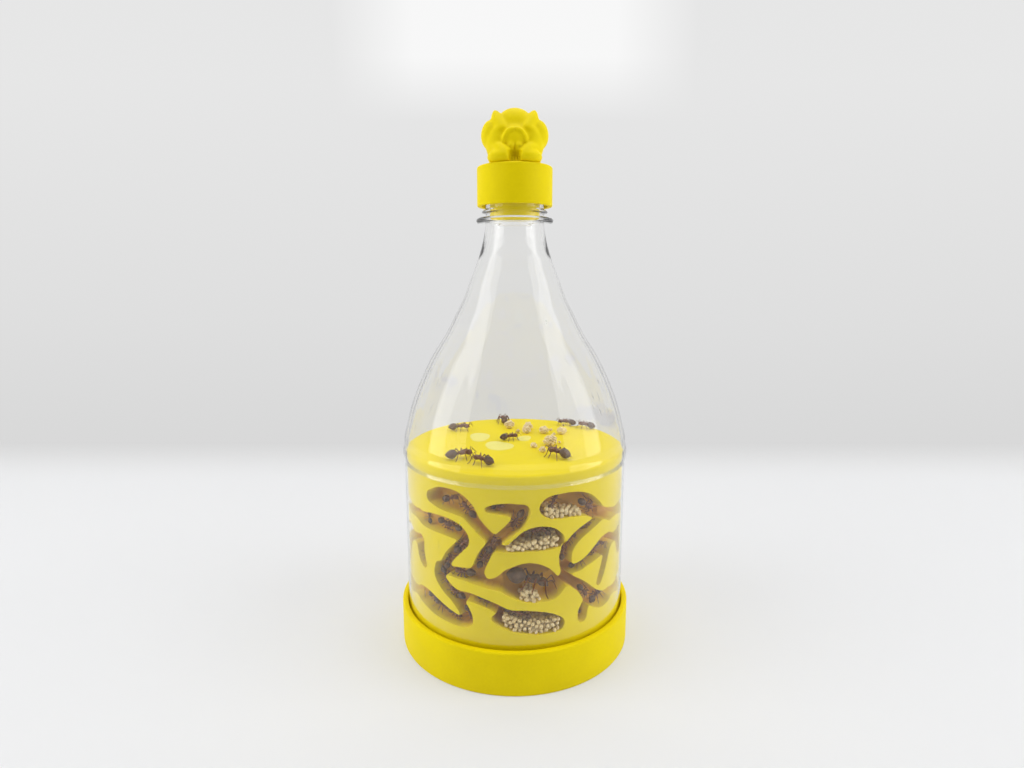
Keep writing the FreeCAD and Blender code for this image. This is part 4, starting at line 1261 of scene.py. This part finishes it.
@dataclass
class Stores:
    """Brood and grain in the chambers, seed crumbs and drops on the deck."""

    drum: NestDrum
    heaps: dict = field(default_factory=lambda: {
        "queen_brood": ("queen_chamber", 2.6, 12.4, 3.6, 3.6, True),
        "middle_brood": ("brood_chamber", -4.0, 20.5, 1.6, 5.4, False),
        "upper_brood": ("upper_chamber", 14.5, 33.0, 3.4, 2.6, False),
        "grain_store": ("grain_chamber", -5.5, 21.5, 4.6, 5.2, False)})
    grain: tuple[float, float, float] = (0.95, 0.86, 0.8)
    tries: int = 9000
    apart: float = 1.5
    side_gap: float = 0.55
    back_gap: float = 0.45
    crumbs: Sequence = ((-2.8, 26.9, 5.0), (6.5, 23.6, 4.8), (5.6, 17.2, 4.2), (14.0, 16.6, 4.6), (17.6, 21.6, 1.6),
                        (22.7, 15.2, 4.6), (15.9, -4.8, 6.2), (8.4, -8.4, 3.0), (12.0, -15.6, 3.0),
                        (18.6, 13.2, 1.5), (1.6, 19.4, 1.8), (20.4, -1.0, 1.4))
    drops: Sequence = ((-16.6, 9.9, 5.2, 7.0), (-7.1, -5.4, 6.0, 7.6), (4.4, 7.5, 3.4, 4.6))
    drop_height: float = 0.35

    def heap(self, chamber: str, first: float, last: float, low: float, high: float, peaked: bool,
             seed: int) -> Surface:
        """Heap of grains on a chamber's floor.

        Places are drawn at random in the chamber, below the heap's top, and one is kept only where it is clear
        of the wall and of the grains kept before.

        Args:
            chamber: the chamber.
            first: azimuth of its left end.
            last: azimuth of its right end.
            low: height of the heap at its left end.
            high: height at its right end.
            peaked: the heap falls away at both ends.
            seed: seed of the draw.

        Returns:
            The grains.
        """
        draw = np.random.default_rng(seed)
        stations = smooth_through(CHAMBERS[chamber], 6)
        azimuth = draw.uniform(first, last, self.tries)
        floor = np.interp(azimuth, stations[:, 0], stations[:, 1] - stations[:, 2])
        share = (azimuth - first) / (last - first)
        top = low + (high - low) * share
        if peaked:
            top = top * (1 - (2 * share - 1) ** 2) + 0.4
        z = floor + draw.uniform(-0.4, 1.0, self.tries) * top
        depth = draw.uniform(0.7, self.drum.chamber_depth, self.tries)
        x = np.radians(azimuth) * self.drum.radius
        outline, room = self.drum.carving(x, z)
        free = (outline < -self.side_gap) & (depth < room - self.back_gap)
        kept = np.zeros((0, 3))
        for place in np.stack([x, depth, z], -1)[free]:
            if not len(kept) or np.min(np.sum((kept - place) ** 2, 1)) > self.apart ** 2:
                kept = np.concatenate([kept, place[None]])
        return joined([self.one_grain(place, draw) for place in kept])

    def one_grain(self, place: np.ndarray, draw: np.random.Generator) -> Surface:
        """Grain of a random size and turn.

        Args:
            place: distance round the wall, depth and height.
            draw: the heap's random draw.

        Returns:
            The grain.
        """
        size = np.asarray(self.grain) * draw.uniform(0.85, 1.2)
        grain = ball((0, 0, 0), size, 7, 5)
        axes = np.linalg.qr(draw.normal(size=(3, 3)))[0]
        angle, radius = place[0] / self.drum.radius, self.drum.radius - place[1]
        return grain.placed(axes, np.array([radius * math.sin(angle), -radius * math.cos(angle), place[2]]))

    def crumb(self, x: float, y: float, size: float, seed: int) -> list[Surface]:
        """Seed crumb: fine grains spread over a round dome by golden turns, whose core is one ball.

        Args:
            x: its place across the deck.
            y: its place along the deck.
            size: its width.
            seed: seed of the draw.

        Returns:
            The core and the grains.
        """
        draw = np.random.default_rng(seed)
        reach, grit = size * 0.46, min(0.56, size * 0.17)
        lumps = [ball((0, 0, 0), (reach * 0.8, reach * 0.8, reach * 0.76), 14, 9)]
        count = max(6, int(2.0 * (reach / grit) ** 2))
        for index, turn in enumerate(np.arange(count) * GOLDEN_TURN):
            tall = 0.98 - 1.25 * (index + 0.5) / count
            flat = math.sqrt(1 - tall ** 2)
            centre = np.array([math.cos(turn) * flat, math.sin(turn) * flat, tall]) * reach * draw.uniform(0.74, 1.0)
            radius = grit * draw.uniform(0.7, 1.15)
            lumps.append(ball(centre, (radius * 1.1, radius, radius * 0.9), 8, 5))
        for lump in lumps:
            lump.points = np.maximum(lump.points + [x, y, self.drum.deck + reach * 0.7],
                                     [-99, -99, self.drum.deck + 0.02])
        return lumps

    def drop(self, x: float, y: float, radius: float, length: float, seed: int) -> Surface:
        """Flat drop: height is the root of one less the square of the share of a wavy radius.

        Args:
            x: its place across the deck.
            y: its place along the deck.
            radius: its half width.
            length: its half length.
            seed: seed of the draw.

        Returns:
            The closed drop.
        """
        draw = np.random.default_rng(seed)
        turn = np.arange(48) * FULL / 48
        edge = radius * (1 + 0.1 * np.sin(2 * turn + draw.uniform(0, 6)) + 0.07 * np.sin(3 * turn + draw.uniform(0, 6)))
        shares = np.array([1.0, 0.97, 0.9, 0.75, 0.5, 0.2])
        height = self.drop_height * np.sqrt(1 - shares ** 2 * 0.999)
        rings = np.stack([x + shares[:, None] * edge * np.cos(turn),
                          y + shares[:, None] * edge * np.sin(turn) * length / radius,
                          self.drum.deck + 0.02 + height[:, None] + 0 * turn], -1)
        return loft(rings, [[x, y, self.drum.deck + 0.02], [x, y, self.drum.deck + self.drop_height]])

    def build(self, finishes: Finishes) -> None:
        """Make heaps, crumbs and drops and settle them.

        Args:
            finishes: the habitat's finishes.
        """
        made = {node: self.heap(*heap, seed=40 + i) for i, (node, heap) in enumerate(self.heaps.items())}
        for node, heap in made.items():
            settle(put(node + "_grains", heap, [finishes.brood], 80.0, False), "nest", node)
        rear = joined([heap.turned(turn * SECTOR_ANGLE) for turn in range(1, SECTORS) for heap in made.values()])
        settle(put("rear_brood_grains", rear, [finishes.brood], 80.0, False), "nest", "rear_brood")
        crumbs = [lump for i, spot in enumerate(self.crumbs) for lump in self.crumb(*spot, seed=60 + i)]
        settle(put("seed_crumb_lumps", joined(crumbs), [finishes.seed], 60.0, False), "nest", "seed_crumbs")
        drops = joined([self.drop(*spot, seed=80 + i) for i, spot in enumerate(self.drops)])
        settle(put("sugar_drop_pools", drops, [finishes.sugar], 60.0), "nest", "sugar_drops")


# ---------------------------------------------------------------- studio

@dataclass
class Studio:
    """Camera, pale floor and soft light."""

    lens: float = 21.48
    shift: float = -0.0027
    tilt: float = 80.21
    eye: tuple[float, float, float] = (0.0, -0.2703, 0.1638)
    floor_front: float = -1.6
    half_width: float = 2.4
    bend_from: float = 0.28
    bend_radius: float = 0.1
    wall_top: float = 2.2

    def camera(self) -> None:
        """Put the camera in its place."""
        data = bpy.data.cameras.new("view")
        data.lens, data.sensor_width, data.shift_x = self.lens, 36.0, self.shift
        camera = bpy.data.objects.new("view", data)
        camera.location = self.eye
        camera.rotation_euler = (math.radians(self.tilt), 0.0, 0.0)
        bpy.context.scene.collection.objects.link(camera)
        bpy.context.scene.camera = camera

    def floor(self) -> None:
        """Floor that curves up into a backdrop, carried sideways as one sheet."""
        start, radius = self.bend_from, self.bend_radius
        bend = [(start + radius * math.sin(a), radius - radius * math.cos(a))
                for a in np.linspace(0.1, math.pi / 2, 14)]
        line = np.array([(self.floor_front, 0.0), (start, 0.0)] + bend + [(start + radius, self.wall_top)])
        sides = np.array([-self.half_width, self.half_width])
        grid = np.stack([sides[:, None] + 0 * line[:, 0], line[:, 0] + 0 * sides[:, None],
                         line[:, 1] + 0 * sides[:, None]], -1)
        n = len(line)
        faces = [(i, n + i, n + i + 1, i + 1) for i in range(n - 1)]
        mesh = bpy.data.meshes.new("floor")
        mesh.from_pydata(grid.reshape(-1, 3).tolist(), [], faces)
        mesh.polygons.foreach_set("use_smooth", np.ones(len(faces), bool))
        mesh.materials.append(self.floor_finish())
        mesh.update()
        sheet = bpy.data.objects.new("floor", mesh)
        bpy.context.scene.collection.objects.link(sheet)

    @staticmethod
    def floor_finish() -> bpy.types.Material:
        """Pale floor: a soft matt white that takes shadows. Its raised back shows the eye an even pale wall.

        The wall's level rises slowly with height from painted corner shade at its foot, and has a painted pool of light
        high up in the middle. The floor shows some of that evenness too, darkened towards the wall's foot by painted
        corner shade, and all of it far away, where it meets the world's own level.
        """
        material = bpy.data.materials.new("pale_floor")
        material.use_nodes = True
        bench = Bench(material.node_tree)
        place = bench.add("ShaderNodeTexCoord").outputs["Object"]
        noise = bench.add("ShaderNodeTexNoise", Vector=place, Scale=3.0, Detail=2.0).outputs[0]
        tone = bench.blend(noise, (0.72, 0.725, 0.735, 1), (0.76, 0.765, 0.775, 1))
        shader = bench.add("ShaderNodeBsdfPrincipled", Base_Color=tone, Roughness=0.8, Specular_IOR_Level=0.2)
        x, y, z = bench.add("ShaderNodeSeparateXYZ", Vector=place).outputs
        # Painted corner shade: the wall's level is lowest at its foot and rises with height.
        rise = bench.math("ADD", bench.spread(z, 0.69, 0.735, 0.0, 0.12), bench.spread(z, 0.0, 0.06, 0.12, 0.36))
        wide = bench.spread(bench.math("ABSOLUTE", x), 1.0, 0.0, 0.10, 0.18)
        # Painted pool of light high up in the middle of the wall.
        painted_light_patch = bench.math("MULTIPLY", wide, bench.spread(z, 0.0, 0.14, 0.32, 0.38))
        # The floor's level falls towards the wall's foot: painted corner shade.
        near = bench.math("ADD", bench.math("ADD", rise, painted_light_patch), bench.spread(y, 0.165, 0.0, 0.21, 0.31))
        away = bench.math("SQRT", bench.math("ADD", bench.math("MULTIPLY", x, x), bench.math("MULTIPLY", y, y)))
        level = bench.math("ADD", near, bench.math("MULTIPLY", bench.spread(away, 0.0, 1.0, 0.9, 1.3),
                                                   bench.math("SUBTRACT", WORLD_LEVEL, near)))
        wall = bench.add("ShaderNodeEmission", Color=bench.add("ShaderNodeCombineColor", i0=level, i1=level,
                                                               i2=level).outputs[0])
        rays = bench.add("ShaderNodeLightPath").outputs
        seen = bench.math("MAXIMUM", rays["Is Camera Ray"],
                          bench.math("MAXIMUM", rays["Is Glossy Ray"], rays["Is Transmission Ray"]))
        plain = bench.math("MAXIMUM", bench.spread(y, 0.4, 1.0, 0.21, 0.31), bench.spread(away, 0.0, 1.0, 0.45, 0.7))
        factor = bench.math("MULTIPLY", seen, plain)
        mixed = bench.add("ShaderNodeMixShader", i0=factor, i1=shader.outputs[0], i2=wall.outputs[0])
        bench.add("ShaderNodeOutputMaterial", Surface=mixed.outputs[0])
        return material

    @staticmethod
    def world() -> None:
        """World: pale all round to the eye, but dimmer as light from the front, so that clear walls mirror little."""
        world = bpy.data.worlds.new("soft_room")
        world.use_nodes = True
        bpy.context.scene.world = world
        bench = Bench(world.node_tree)
        place = bench.add("ShaderNodeTexCoord").outputs["Generated"]
        forward = bench.add("ShaderNodeSeparateXYZ", Vector=place).outputs[1]
        rays = bench.add("ShaderNodeLightPath").outputs
        mirrored = bench.math("MULTIPLY", rays["Is Glossy Ray"], bench.spread(forward, 0.0, 1.0, -0.3, 0.3))
        seen = bench.math("MAXIMUM", mirrored, bench.math("MAXIMUM", rays["Is Camera Ray"],
                                                          rays["Is Transmission Ray"]))
        level = bench.math("MAXIMUM", bench.spread(forward, 0.15, 0.95, -0.9, 0.1),
                           bench.math("MULTIPLY", seen, WORLD_LEVEL / WORLD_STRENGTH))
        tone = bench.add("ShaderNodeCombineColor", i0=level, i1=level, i2=level).outputs[0]
        back = bench.add("ShaderNodeBackground", Color=tone, Strength=WORLD_STRENGTH)
        bench.add("ShaderNodeOutputWorld", Surface=back.outputs[0])

    @staticmethod
    def lamp(name: str, place: Sequence[float], aim: Sequence[float], size: tuple[float, float],
             power: float, mirrored: bool = True) -> None:
        """Rectangular soft lamp that faces a point.

        Args:
            name: the lamp's name.
            place: where it hangs, in metres.
            aim: the point it faces.
            size: its width and height.
            power: its power in watts.
            mirrored: whether glossy faces show it.
        """
        data = bpy.data.lights.new(name, "AREA")
        data.shape, data.size, data.size_y, data.energy = "RECTANGLE", size[0], size[1], power
        lamp = bpy.data.objects.new(name, data)
        lamp.visible_camera, lamp.visible_glossy = False, mirrored
        lamp.location = place
        way = np.asarray(aim, float) - np.asarray(place, float)
        across = math.hypot(way[0], way[1])
        lamp.rotation_euler = (math.atan2(across, -way[2]), 0.0, math.atan2(-way[0], way[1]) if across > 1e-6 else 0.0)
        bpy.context.scene.collection.objects.link(lamp)

    def build(self) -> None:
        """Make the whole studio."""
        bpy.context.scene.view_settings.view_transform = "Standard"
        self.camera()
        self.floor()
        self.world()
        self.lamp("top_soft", (0.0, 0.0, 0.95), (0, 0, 0.1), (0.6, 0.6), 2.9)
        for side in (-1, 1):
            self.lamp("side_soft", (side * 0.8, -0.24, 0.42), (0, 0, 0.1), (0.7, 1.0), 4.5, False)
            self.lamp("side_strip", (side * 0.8, -0.12, 0.42), (0, 0, 0.1), (0.3, 1.0), 0.8)


def dress_kept(frame: dict, finishes: Finishes) -> None:
    """Give the CAD nodes that stay their finishes.

    Args:
        finishes: the habitat's finishes.
    """
    kept = {"neck_plug": finishes.yellow, "vent_mesh": finishes.mesh, "moisture_sponge": finishes.sponge}
    for node, material in kept.items():
        data = frame["nodes"][node].data
        data.materials.clear()
        data.materials.append(material)


def corners(bounds: tuple) -> list[list[float]]:
    """Lowest and highest corner as plain lists."""
    return [[float(value) for value in corner] for corner in bounds]


def main() -> None:
    """Build the habitat's looks round its frame."""
    logging.basicConfig(level=logging.INFO, format="%(name)s %(message)s")
    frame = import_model()
    Studio().build()
    finishes = Finishes()
    dress_kept(frame, finishes)
    drum = NestDrum()
    for part in (Bottle(), Printed(), Head(), drum, Colony(drum), Stores(drum)):
        part.build(finishes)
        log.info("%s is built", type(part).__name__)


if __name__ == "__main__":
    main()
